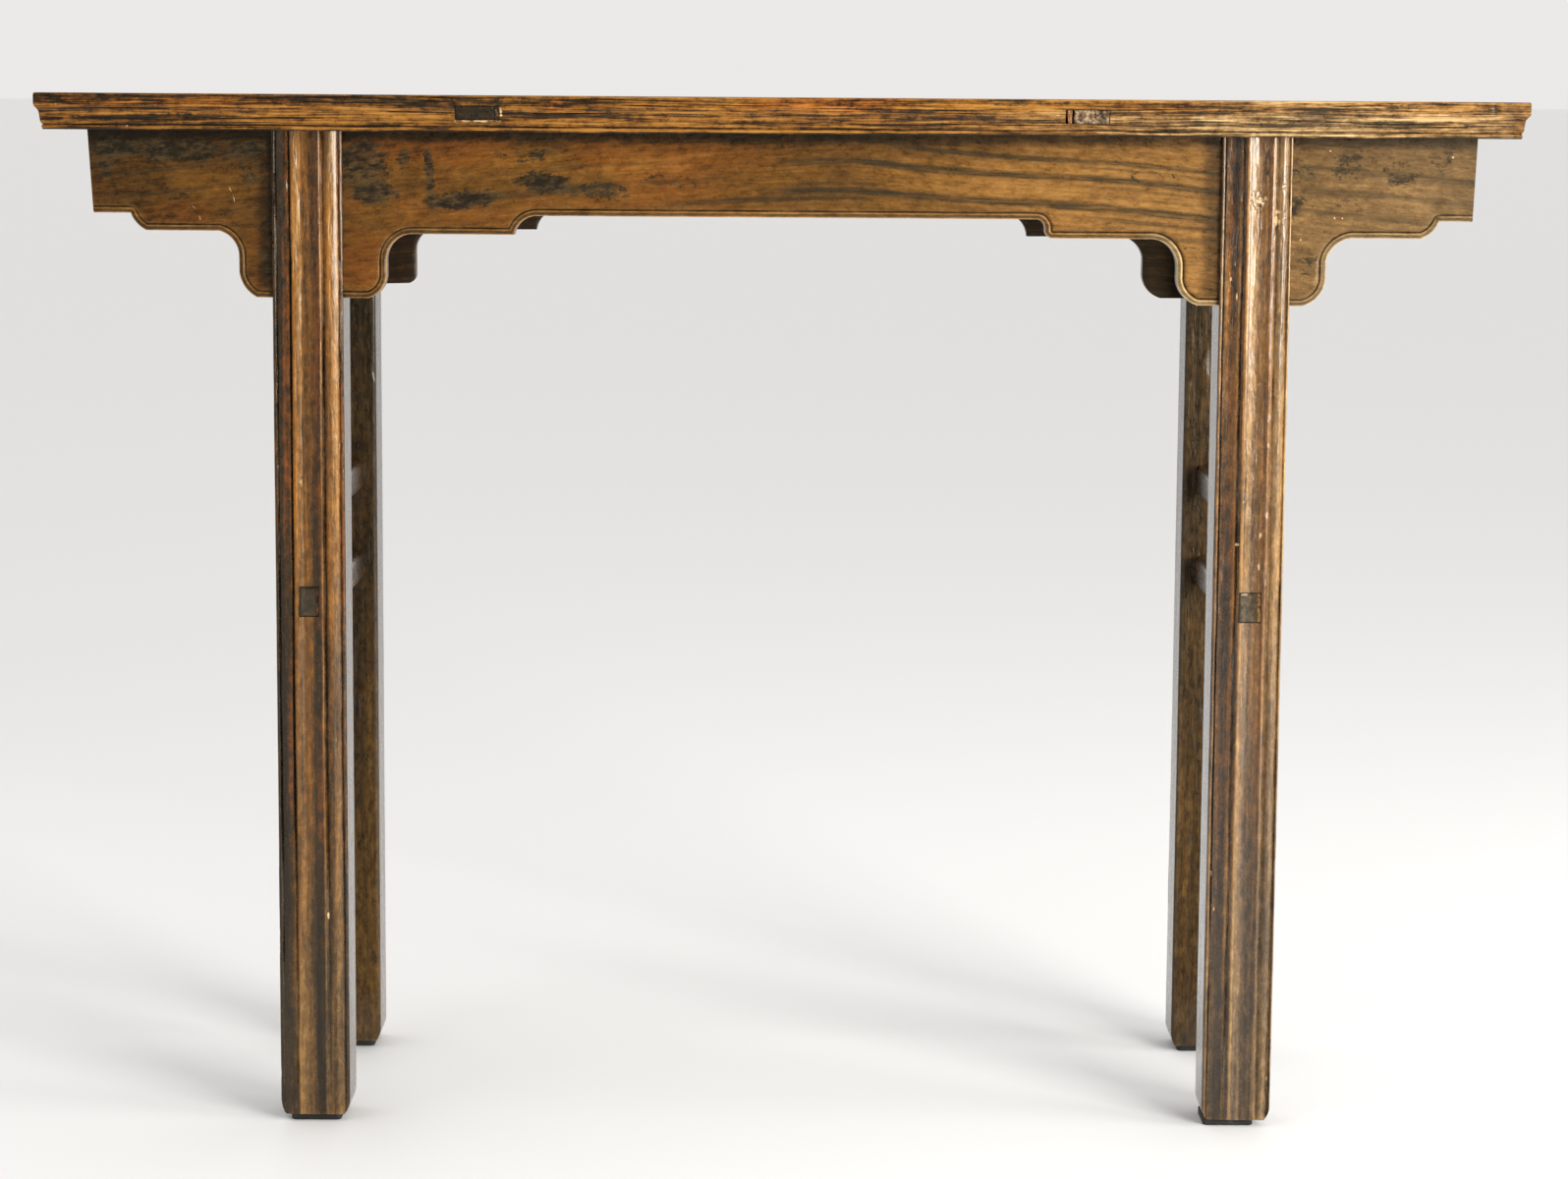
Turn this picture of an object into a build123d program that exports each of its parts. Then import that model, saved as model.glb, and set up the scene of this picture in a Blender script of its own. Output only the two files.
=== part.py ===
from build123d import *
import os

# Chinese recessed-leg side table of old lacquered elm (a flat-top "pingtou'an").
# Millimetres. Origin on the floor under the middle of the table: +X along the
# length, -Y is the front, +Z up. The legs are "left" at -X and "right" at +X.

os.makedirs("parts", exist_ok=True)

# ---------------------------------------------------------------- overall
LENGTH = 1225.0          # over the table top
DEPTH = 355.0            # over the table top
HEIGHT = 870.0           # floor to table top, pads included
TOP_T = 30.0             # thickness of the top's frame
PAD_H = 6.0              # foot pad under each leg
UNDER = HEIGHT - TOP_T   # underside of the top's frame

# ---------------------------------------------------------------- top frame
RAIL_W = 85.0            # width of the four mitred frame members
GROOVE_TOP = 3.5         # panel groove, below the table's top face
PANEL_T = 8.5            # panel boards, and the lower side of the groove
GROOVE_D = 8.0           # depth of the panel groove
TONGUE = 7.0             # how far the panel's rebated tongue enters it
PANEL_GAP = 0.5          # open joint round the floating panel
BOARD_JOINT_Y = -9.0     # the two panel boards meet here
BOARD_TONGUE = (4.0, 3.0)        # tongue between the boards: length, thickness
CORNER_TENON = (10.0, 22.0)      # below the top face
CORNER_TENON_Y = (27.5, 62.5)    # from the long edge, inwards

# ---------------------------------------------------------------- braces
BRACE_X = 250.0
BRACE_W = 44.0
BRACE_BOTTOM = 27.0      # below the top face
TENON_W = 36.5           # mortise width, wedge included
TENON_H = 11.7
RIB_TOP = 6.0            # top of the dovetail rib, below the table's top face
RIB_W_TOP, RIB_W_LOW = 30.0, 26.0
WEDGE_L = 34.0
WEDGE_LEFT = (3.4, 1.4)  # width at the edge of the top, width inside
WEDGE_RIGHT = (6.5, 2.0)

# ---------------------------------------------------------------- legs
LEG_X = 393.0            # centre of each leg
LEG_Y = 125.0
LEG_W = 59.0             # across the moulded face
LEG_D = 54.0
LEG_TENON = (35.0, 14.0, 16.0)   # X, Y, height, into the underside of the top
LEG_TENON_Y = 113.0
FOOT_CUT = (5.0, 11.0)   # worn lower corners, across and up

# ---------------------------------------------------------------- aprons
APRON_FACE = 144.0       # outer face, from the middle plane
APRON_BACK = 126.0
BEAD_W = 4.7             # bead along the lower edge, flush with the ground
QUIRK_W, QUIRK_DEEP = 1.2, 1.3       # the groove that sets it off
WAIST_OUT, WAIST_IN = 142.0, 128.0   # board thickness inside the leg heads
APRON_TONGUE_Y = (133.0, 139.0)      # tongue along the apron's top edge
APRON_TONGUE_H = 5.0
APRON_TONGUE_X = 545.0
END_TOP_L, END_LOW_L = 574.5, 570.5  # half lengths, under the top and below
END_TOP_R, END_LOW_R = 575.5, 573.0
END_Z = 771.4            # lower edge of the aprons at their ends
END_APRON_T = 18.0

# lower edge of each spandrel where it passes through the leg head
SLOT_FL, SLOT_FR = 702.0, 700.5
SLOT_RL, SLOT_RR = 698.5, 692.4

# ---------------------------------------------------------------- stretchers
STR_W, STR_H = 34.0, 28.0
STR_LOW_Z, STR_UP_Z = 448.0, 530.0
STR_ROUND = 6.0
THROUGH_H = 26.0
MORTISE_LEFT = (-9.5, 7.0)    # through mortise, from the leg's centre line
MORTISE_RIGHT = (-8.0, 11.0)
STR_WEDGE = (2.6, 1.0)        # width at the leg's face, width inside
STR_WEDGE_L = 30.0
BLIND = (14.0, 22.0, 30.0)    # X, Z, depth

# ---------------------------------------------------------------- foot pads
PAD = (43.0, 42.0)
PAD_SHIFT = {"fl": 0.0, "fr": -6.0, "rl": 1.5, "rr": -1.5}


# =============================================================== shared shapes
def edge_outside(plane, half, s):
    """The region just outside a moulded edge of the top. The plane's x runs
    across the edge, its y is up; s is the side that the edge faces."""

    def p(inward, below):
        return (s * (half - inward), HEIGHT - below)

    with BuildSketch(plane) as face:
        with BuildLine():
            Polyline(p(6.4, 30), p(6.4, 31), p(-3, 31), p(-3, -1), p(1, -1), p(1, 0))
            ThreePointArc(p(1, 0), p(0.293, 0.293), p(0, 1))
            Line(p(0, 1), p(0, 9))
            Spline(p(0, 9), p(3.7, 16.4), tangents=[(0, -1), (0, -1)])
            Line(p(3.7, 16.4), p(4.4, 21.5))
            ThreePointArc(p(4.4, 21.5), p(5.0, 24.2), p(6.4, 25.8))
            ThreePointArc(p(6.4, 25.8), p(5.4, 27.9), p(6.4, 30))
        make_face()
    return face.sketch


def frame_section(plane, half, s):
    """Section of a member of the top's frame: moulded outer edge, panel
    groove on the inner side."""

    def p(inward, below):
        return (s * (half - inward), HEIGHT - below)

    with BuildSketch(plane) as face:
        with BuildLine():
            Line(p(RAIL_W, 0), p(1, 0))
            ThreePointArc(p(1, 0), p(0.293, 0.293), p(0, 1))
            Line(p(0, 1), p(0, 9))
            Spline(p(0, 9), p(3.7, 16.4), tangents=[(0, -1), (0, -1)])
            Line(p(3.7, 16.4), p(4.4, 21.5))
            ThreePointArc(p(4.4, 21.5), p(5.0, 24.2), p(6.4, 25.8))
            ThreePointArc(p(6.4, 25.8), p(5.4, 27.9), p(6.4, 30))
            Polyline(
                p(6.4, 30), p(RAIL_W, 30), p(RAIL_W, PANEL_T),
                p(RAIL_W - GROOVE_D, PANEL_T), p(RAIL_W - GROOVE_D, GROOVE_TOP),
                p(RAIL_W, GROOVE_TOP), p(RAIL_W, 0),
            )
        make_face()
    return face.sketch


def corner_waste(sx, sy, keep_long):
    """Plan of the triangle that a mitre takes off a frame member's corner."""
    xo, yo, w = LENGTH / 2, DEPTH / 2, RAIL_W + 5
    third = (sx * (xo + 5), sy * (yo - w)) if keep_long else (sx * (xo - w), sy * (yo + 5))
    with BuildSketch(Plane.XY.offset(UNDER - 1)) as face:
        with BuildLine():
            Polyline(
                (sx * (xo + 5), sy * (yo + 5)), (sx * (xo - w), sy * (yo - w)), third,
                close=True,
            )
        make_face()
    return face.sketch


def corner_tenon(sx, sy):
    """Plan of the tenon that a long rail puts through an end member."""
    a, b = CORNER_TENON_Y
    xo, yo = LENGTH / 2, DEPTH / 2
    with BuildSketch(Plane.XY.offset(HEIGHT - CORNER_TENON[1])) as face:
        with BuildLine():
            Polyline(
                (sx * (xo - a), sy * (yo - a)), (sx * xo, sy * (yo - a)),
                (sx * xo, sy * (yo - b)), (sx * (xo - b), sy * (yo - b)),
                close=True,
            )
        make_face()
    return face.sketch


# =============================================================== long rails
def make_long_rail(sy):
    with BuildPart() as rail:
        extrude(frame_section(Plane.YZ.offset(-LENGTH / 2), DEPTH / 2, sy), amount=LENGTH)
        for sx in (-1, 1):
            extrude(corner_waste(sx, sy, True), amount=TOP_T + 2, mode=Mode.SUBTRACT)
            extrude(corner_tenon(sx, sy), amount=CORNER_TENON[1] - CORNER_TENON[0])
            # the tenon's end grain is moulded with the end member
            extrude(edge_outside(Plane.XZ.offset(-DEPTH), LENGTH / 2, sx),
                    amount=2 * DEPTH, mode=Mode.SUBTRACT)
        # mortises for the braces, right through to the edge of the top
        with Locations(
            (-BRACE_X, sy * (DEPTH - RAIL_W) / 2, HEIGHT - PANEL_T - TENON_H / 2),
            (BRACE_X, sy * (DEPTH - RAIL_W) / 2, HEIGHT - PANEL_T - TENON_H / 2),
        ):
            Box(TENON_W, RAIL_W + 2, TENON_H, mode=Mode.SUBTRACT)
        # blind mortises for the leg tenons
        with Locations(
            (-LEG_X, sy * LEG_TENON_Y, UNDER + LEG_TENON[2] / 2),
            (LEG_X, sy * LEG_TENON_Y, UNDER + LEG_TENON[2] / 2),
        ):
            Box(*LEG_TENON, mode=Mode.SUBTRACT)
        # groove for the tongue along the apron's top edge
        with Locations((0, sy * sum(APRON_TONGUE_Y) / 2, UNDER + APRON_TONGUE_H / 2)):
            Box(2 * APRON_TONGUE_X, APRON_TONGUE_Y[1] - APRON_TONGUE_Y[0],
                APRON_TONGUE_H, mode=Mode.SUBTRACT)
    return rail


top_rail_front = make_long_rail(-1)
top_rail_front.part.label = "top_rail_front"
export_step(top_rail_front.part, "parts/top_rail_front.step")

top_rail_rear = make_long_rail(1)
top_rail_rear.part.label = "top_rail_rear"
export_step(top_rail_rear.part, "parts/top_rail_rear.step")


# =============================================================== end members
def make_end_member(sx):
    with BuildPart() as end:
        extrude(frame_section(Plane.XZ.offset(-DEPTH / 2), LENGTH / 2, sx), amount=DEPTH)
        for sy in (-1, 1):
            extrude(corner_waste(sx, sy, False), amount=TOP_T + 2, mode=Mode.SUBTRACT)
            # mortise for the long rail's through tenon
            extrude(corner_tenon(sx, sy), amount=CORNER_TENON[1] - CORNER_TENON[0],
                    mode=Mode.SUBTRACT)
    return end


top_end_left = make_end_member(-1)
top_end_left.part.label = "top_end_left"
export_step(top_end_left.part, "parts/top_end_left.step")

top_end_right = make_end_member(1)
top_end_right.part.label = "top_end_right"
export_step(top_end_right.part, "parts/top_end_right.step")


# =============================================================== panel boards
PX, PY = LENGTH / 2 - RAIL_W, DEPTH / 2 - RAIL_W     # the frame's opening


def brace_channel(x):
    """Dovetail channel across the underside of the panel."""
    with BuildSketch(Plane.XZ.offset(-PY - 20)) as face:
        with BuildLine():
            Polyline(
                (x - RIB_W_LOW / 2, HEIGHT - PANEL_T), (x + RIB_W_LOW / 2, HEIGHT - PANEL_T),
                (x + RIB_W_TOP / 2, HEIGHT - RIB_TOP), (x - RIB_W_TOP / 2, HEIGHT - RIB_TOP),
                close=True,
            )
        make_face()
    return face.sketch


def make_board(y0, y1, sy):
    """Panel board from y0 to y1; sy is the side that meets the frame."""
    mid = HEIGHT - (GROOVE_TOP + PANEL_T) / 2
    with BuildPart() as board:
        # full thickness, inside the frame's opening
        with BuildSketch(Plane.XY.offset(HEIGHT - PANEL_T)):
            with Locations((0, (y0 + y1) / 2)):
                Rectangle(2 * (PX - PANEL_GAP), y1 - y0)
        extrude(amount=PANEL_T)
        # rebated tongue on three sides, in the frame's groove
        outer = sy * (PY + TONGUE)
        inner = BOARD_JOINT_Y
        with BuildSketch(Plane.XY.offset(HEIGHT - PANEL_T)):
            with Locations((0, (outer + inner) / 2)):
                Rectangle(2 * (PX + TONGUE), abs(outer - inner))
        extrude(amount=PANEL_T - GROOVE_TOP)
        # tongue and groove between the two boards
        with Locations((0, BOARD_JOINT_Y - BOARD_TONGUE[0] / 2, mid)):
            if sy > 0:
                Box(2 * (PX - 1), BOARD_TONGUE[0], BOARD_TONGUE[1])
            else:
                Box(2 * (PX - 1), BOARD_TONGUE[0], BOARD_TONGUE[1], mode=Mode.SUBTRACT)
        for x in (-BRACE_X, BRACE_X):
            extrude(brace_channel(x), amount=2 * PY + 40, mode=Mode.SUBTRACT)
    return board


top_board_front = make_board(-PY + PANEL_GAP, BOARD_JOINT_Y, -1)
top_board_front.part.label = "top_board_front"
export_step(top_board_front.part, "parts/top_board_front.step")

top_board_rear = make_board(BOARD_JOINT_Y, PY - PANEL_GAP, 1)
top_board_rear.part.label = "top_board_rear"
export_step(top_board_rear.part, "parts/top_board_rear.step")


# =============================================================== braces
def brace_wedge(side, sy):
    """Plan of the wedge beside a brace's through tenon, on the side of the
    tenon nearest the middle of the table."""
    wide, thin = WEDGE_LEFT if side < 0 else WEDGE_RIGHT
    x0 = side * (BRACE_X - TENON_W / 2)
    yo = DEPTH / 2
    with BuildSketch(Plane.XY.offset(HEIGHT - PANEL_T - TENON_H)) as face:
        with BuildLine():
            Polyline(
                (x0, sy * yo), (x0 + side * wide, sy * yo),
                (x0 + side * thin, sy * (yo - WEDGE_L)), (x0, sy * (yo - WEDGE_L)),
                close=True,
            )
        make_face()
    return face.sketch


def make_brace(side):
    x = side * BRACE_X
    with BuildPart() as brace:
        # bearer, its lower arrises eased
        with BuildSketch(Plane.XZ.offset(-PY)):
            with Locations((x, HEIGHT - (PANEL_T + BRACE_BOTTOM) / 2)):
                Rectangle(BRACE_W, BRACE_BOTTOM - PANEL_T)
        extrude(amount=2 * PY)
        chamfer(brace.edges().filter_by(Axis.Y).group_by(Axis.Z)[0], length=2.0)
        # dovetail rib under the panel
        with BuildSketch(Plane.XZ.offset(-PY)):
            with BuildLine():
                Polyline(
                    (x - RIB_W_LOW / 2, HEIGHT - PANEL_T), (x + RIB_W_LOW / 2, HEIGHT - PANEL_T),
                    (x + RIB_W_TOP / 2, HEIGHT - RIB_TOP), (x - RIB_W_TOP / 2, HEIGHT - RIB_TOP),
                    close=True,
                )
            make_face()
        extrude(amount=2 * PY)
        # through tenons, cut away beside the wedges and moulded with the edge
        with Locations((x, 0, HEIGHT - PANEL_T - TENON_H / 2)):
            Box(TENON_W, DEPTH, TENON_H)
        for sy in (-1, 1):
            extrude(brace_wedge(side, sy), amount=TENON_H, mode=Mode.SUBTRACT)
            extrude(edge_outside(Plane.YZ.offset(-LENGTH), DEPTH / 2, sy),
                    amount=2 * LENGTH, mode=Mode.SUBTRACT)
    return brace


brace_left = make_brace(-1)
brace_left.part.label = "brace_left"
export_step(brace_left.part, "parts/brace_left.step")

brace_right = make_brace(1)
brace_right.part.label = "brace_right"
export_step(brace_right.part, "parts/brace_right.step")

with BuildPart() as brace_wedges:
    for side in (-1, 1):
        for sy in (-1, 1):
            extrude(brace_wedge(side, sy), amount=TENON_H)
    for sy in (-1, 1):
        extrude(edge_outside(Plane.YZ.offset(-LENGTH), DEPTH / 2, sy),
                amount=2 * LENGTH, mode=Mode.SUBTRACT)
brace_wedges.part.label = "brace_wedges"
export_step(brace_wedges.part, "parts/brace_wedges.step")


# =============================================================== legs
# Moulding of a leg's outer face, as distances from its middle: inner side of
# the arris bead, side band, ridge, then the channel and the same again. It was
# planed by hand, and on the right legs it sits a little to the right.
MOULD_LEFT = (-26.6, -25.2, -15.4, -13.8, -8.2, 6.8, 11.6, 13.6, 24.6, 26.4)
MOULD_RIGHT = (-26.0, -24.8, -12.4, -8.8, -4.0, 10.4, 16.2, 18.2, 26.2, 27.2)
ARRIS_D, BAND_D, CHANNEL_D, QUIRK_D = 4.0, 0.7, 1.7, 2.6


def leg_section(x, sy):
    """Plan of a leg. The outer face is moulded: a shallow channel between two
    ridges, a rounded band each side and a bead along each arris."""

    def p(across, back):
        return (x + across, sy * (LEG_Y + LEG_D / 2 - back))

    h = LEG_W / 2
    m0, m1, m2, m3, m4, m5, m6, m7, m8, m9 = MOULD_LEFT if x < 0 else MOULD_RIGHT
    with BuildSketch(Plane.XY.offset(PAD_H)) as face:
        with BuildLine():
            # channel and the ridges beside it
            ThreePointArc(p(m4, 0.9), p((m4 + m5) / 2, CHANNEL_D), p(m5, 0.9))
            ThreePointArc(p(m4, 0.9), p((m3 + m4) / 2 + 0.3, 0.0), p(m3, 1.4))
            ThreePointArc(p(m5, 0.9), p((m5 + m6) / 2 - 0.3, 0.0), p(m6, 1.4))
            # quirks between ridges and side bands
            Polyline(p(m3, 1.4), p((m2 + m3) / 2, QUIRK_D), p(m2, 1.8))
            Polyline(p(m6, 1.4), p((m6 + m7) / 2, QUIRK_D), p(m7, 1.8))
            # side bands, falling away towards the arrises
            ThreePointArc(p(m2, 1.8), p((m1 + m2) / 2 + 1.5, BAND_D), p(m1, 3.2))
            ThreePointArc(p(m7, 1.8), p((m7 + m8) / 2 - 1.5, BAND_D), p(m8, 3.2))
            Polyline(p(m1, 3.2), p((m0 + m1) / 2, 3.9), p(m0, 3.0))
            Polyline(p(m8, 3.2), p((m8 + m9) / 2, 3.9), p(m9, 3.0))
            # beads on the arrises
            ThreePointArc(p(m0, 3.0), p((m0 - h) / 2 + 0.2, 2.3), p(-h, ARRIS_D))
            ThreePointArc(p(m9, 3.0), p((m9 + h) / 2 - 0.2, 2.3), p(h, ARRIS_D))
            # plain sides and back
            Polyline(p(-h, ARRIS_D), p(-h, LEG_D - 2), p(-h + 2, LEG_D),
                     p(h - 2, LEG_D), p(h, LEG_D - 2), p(h, ARRIS_D))
        make_face()
    return face.sketch


def through_tenon(x, sy, inner):
    """Plan of a lower stretcher's through tenon with its wedge beside it.
    inner picks the tenon (True) or the wedge (False)."""
    a, b = MORTISE_LEFT if x < 0 else MORTISE_RIGHT
    wide, thin = STR_WEDGE
    yo, yi = LEG_Y + LEG_D / 2, LEG_Y - LEG_D / 2
    yw = yo - STR_WEDGE_L
    with BuildSketch(Plane.XY.offset(STR_LOW_Z - THROUGH_H / 2)) as face:
        with BuildLine():
            if inner:
                Polyline(
                    (x + a, sy * yi), (x + a, sy * yo), (x + b - wide, sy * yo),
                    (x + b - thin, sy * yw), (x + b, sy * yw), (x + b, sy * yi), close=True,
                )
            else:
                Polyline(
                    (x + b - wide, sy * yo), (x + b, sy * yo), (x + b, sy * yw),
                    (x + b - thin, sy * yw), close=True,
                )
        make_face()
        add(leg_section_flat(x, sy), mode=Mode.INTERSECT)
    return face.sketch


def leg_section_flat(x, sy):
    """The leg's plan, level with the lower stretcher's tenon."""
    return leg_section(x, sy).moved(
        Location((0, 0, STR_LOW_Z - THROUGH_H / 2 - PAD_H)))


def make_leg(sx, sy, slot_z):
    x = sx * LEG_X
    a, b = MORTISE_LEFT if sx < 0 else MORTISE_RIGHT
    with BuildPart() as leg:
        extrude(leg_section(x, sy), amount=UNDER - PAD_H)
        # slot in the head for the apron and its spandrels
        with Locations((x, sy * (WAIST_OUT + WAIST_IN) / 2, (slot_z + UNDER + 2) / 2)):
            Box(LEG_W + 2, WAIST_OUT - WAIST_IN, UNDER + 2 - slot_z, mode=Mode.SUBTRACT)
        # tenon into the underside of the top
        with Locations((x, sy * LEG_TENON_Y, UNDER + LEG_TENON[2] / 2)):
            Box(*LEG_TENON)
        # through mortise for the lower stretcher, blind for the upper
        with Locations((x + (a + b) / 2, sy * LEG_Y, STR_LOW_Z)):
            Box(b - a, LEG_D + 4, THROUGH_H, mode=Mode.SUBTRACT)
        with Locations((x, sy * (LEG_Y - LEG_D / 2 + BLIND[2] / 2), STR_UP_Z)):
            Box(BLIND[0], BLIND[2], BLIND[1], mode=Mode.SUBTRACT)
        # worn corners of the foot
        with BuildSketch(Plane.XZ.offset(-200)) as wear:
            for s in (-1, 1):
                with BuildLine():
                    Polyline(
                        (x + s * (LEG_W / 2 + 1), PAD_H - 1),
                        (x + s * (LEG_W / 2 - FOOT_CUT[0]), PAD_H - 1),
                        (x + s * (LEG_W / 2 - FOOT_CUT[0]), PAD_H),
                        (x + s * (LEG_W / 2 - 1.6), PAD_H + FOOT_CUT[1] * 0.5),
                        (x + s * LEG_W / 2, PAD_H + FOOT_CUT[1]),
                        (x + s * (LEG_W / 2 + 1), PAD_H + FOOT_CUT[1]), close=True,
                    )
                make_face()
        extrude(wear.sketch, amount=400, mode=Mode.SUBTRACT)
    return leg


leg_front_left = make_leg(-1, -1, SLOT_FL)
leg_front_left.part.label = "leg_front_left"
export_step(leg_front_left.part, "parts/leg_front_left.step")

leg_front_right = make_leg(1, -1, SLOT_FR)
leg_front_right.part.label = "leg_front_right"
export_step(leg_front_right.part, "parts/leg_front_right.step")

leg_rear_left = make_leg(-1, 1, SLOT_RL)
leg_rear_left.part.label = "leg_rear_left"
export_step(leg_rear_left.part, "parts/leg_rear_left.step")

leg_rear_right = make_leg(1, 1, SLOT_RR)
leg_rear_right.part.label = "leg_rear_right"
export_step(leg_rear_right.part, "parts/leg_rear_right.step")


# =============================================================== aprons
# One board each, its spandrels in one piece with it. The lower edge is drawn
# in two halves from the middle out, as (X from the middle, Z). Each half was
# cut by hand, so left and right, front and rear differ a little.
def lower_edge(s, half, mid_z, step, shelf_z, shoulder_in, slot_z, foot_in, foot_out,
               shoulder_out, shelf_out_z, outer_step, end_low, shift=0.0):
    """Lines of the lower edge on side s, from the middle to the end."""

    def p(x, z):
        return (s * x, z)

    (x1, x2) = step                       # cove or ogee between the two levels
    Line(p(0, mid_z), p(x1, mid_z))
    if half == "cove":
        ThreePointArc(p(x1, mid_z), p(x1 + (x2 - x1) * 0.77, mid_z - (mid_z - shelf_z) * 0.42),
                      p(x2, shelf_z))
    else:
        turn = p((x1 + x2) / 2 + 0.6, (mid_z + shelf_z) / 2 - 0.4)
        round_over = TangentArc(p(x1, mid_z), turn, tangent=(s, 0))
        TangentArc(turn, p(x2, shelf_z), tangent=round_over % 1)
    a, b, c = shoulder_in                 # start of the curve, middle, end
    Line(p(x2, shelf_z), p(*a))
    ThreePointArc(p(*a), p(*b), p(*c))
    d, e, f = foot_in
    Line(p(*c), p(*d))
    ThreePointArc(p(*d), p(*e), p(*f))
    g, h, i = foot_out
    Line(p(*f), p(*g))
    ThreePointArc(p(*g), p(*h), p(*i))
    j, k, m = shoulder_out
    Line(p(*i), p(*j))
    ThreePointArc(p(*j), p(*k), p(*m))
    (n, o, q) = outer_step
    Line(p(*m), p(*n))
    ThreePointArc(p(*n), p(*o), p(*q))
    Line(p(*q), p(end_low, END_Z))


FRONT_LEFT = dict(
    half="cove", mid_z=771.0, step=(203.0, 222.0), shelf_z=755.3,
    shoulder_in=((305.0, 755.3), (321.5, 749.3), (328.0, 734.0)), slot_z=SLOT_FL,
    foot_in=((328.0, 721.0), (333.0, 708.6), (343.5, SLOT_FL)),
    foot_out=((436.0, SLOT_FL), (445.8, 710.6), (450.6, 723.0)),
    shoulder_out=((450.6, 735.0), (455.6, 750.0), (467.0, 757.0)), shelf_out_z=757.0,
    outer_step=((527.0, 757.0), (535.4, 763.3), (540.0, END_Z)), end_low=END_LOW_L,
)
FRONT_RIGHT = dict(
    half="ogee", mid_z=771.0, step=(211.0, 224.5), shelf_z=755.3,
    shoulder_in=((304.0, 755.3), (321.8, 749.0), (328.6, 734.0)), slot_z=SLOT_FR,
    foot_in=((328.6, 727.0), (333.0, 710.0), (346.5, SLOT_FR)),
    foot_out=((433.0, SLOT_FR), (446.8, 708.6), (452.6, 726.0)),
    shoulder_out=((452.6, 738.0), (459.0, 750.0), (473.0, 757.0)), shelf_out_z=757.0,
    outer_step=((530.5, 757.0), (540.3, 762.8), (545.6, END_Z)), end_low=END_LOW_R,
)
REAR_LEFT = dict(
    half="cove", mid_z=767.5, step=(203.0, 221.0), shelf_z=750.4,
    shoulder_in=((309.0, 750.4), (324.3, 745.0), (330.0, 733.0)), slot_z=SLOT_RL,
    foot_in=((330.0, 710.0), (331.2, 705.0), (336.0, 701.5)),
    foot_out=((436.0, SLOT_RL), (445.4, 706.0), (450.6, 719.0)),
    shoulder_out=((450.6, 731.0), (455.6, 745.6), (467.0, 752.5)), shelf_out_z=752.5,
    outer_step=((527.0, 752.5), (535.6, 761.0), (540.0, END_Z)), end_low=END_LOW_L,
)
REAR_RIGHT = dict(
    half="cove", mid_z=767.5, step=(203.0, 221.5), shelf_z=747.2,
    shoulder_in=((300.0, 747.2), (318.5, 742.6), (326.4, 729.0)), slot_z=SLOT_RR,
    foot_in=((326.4, 714.0), (330.6, 701.2), (343.0, SLOT_RR)),
    foot_out=((436.0, SLOT_RR), (446.2, 702.0), (452.2, 716.0)),
    shoulder_out=((452.2, 728.0), (458.6, 742.6), (472.0, 750.0)), shelf_out_z=750.0,
    outer_step=((530.0, 750.0), (539.8, 759.5), (545.0, END_Z)), end_low=END_LOW_R,
)


def apron_outline(plane, left, right, widen=0.0, top=UNDER):
    """Outline of an apron. widen moves the ends out and the lower runs at the
    ends go with them."""
    with BuildSketch(plane) as face:
        with BuildLine():
            lower_edge(-1, **left)
            lower_edge(1, **right)
            Polyline(
                (-END_LOW_L, END_Z), (-END_LOW_L - widen, END_Z),
                (-END_TOP_L - widen, top), (END_TOP_R + widen, top),
                (END_LOW_R + widen, END_Z), (END_LOW_R, END_Z),
            ) if widen else Polyline(
                (-END_LOW_L, END_Z), (-END_TOP_L, top), (END_TOP_R, top), (END_LOW_R, END_Z),
            )
        make_face()
    return face.sketch


def mitre_plane(sx, sy):
    """Plane of the mitre between a long apron and an end apron. It holds the
    slanted outer and inner corner lines."""
    top_x = END_TOP_L if sx < 0 else END_TOP_R
    low_x = END_LOW_L if sx < 0 else END_LOW_R
    along = Vector(sx * (low_x - top_x), 0, END_Z - UNDER)
    across = Vector(-sx * END_APRON_T, -sy * (APRON_FACE - APRON_BACK), 0)
    normal = along.cross(across)
    if normal.dot(Vector(sx, 0, 0)) < 0:
        normal = normal * -1
    return Plane(origin=(sx * top_x, sy * APRON_FACE, UNDER), z_dir=normal)


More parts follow.
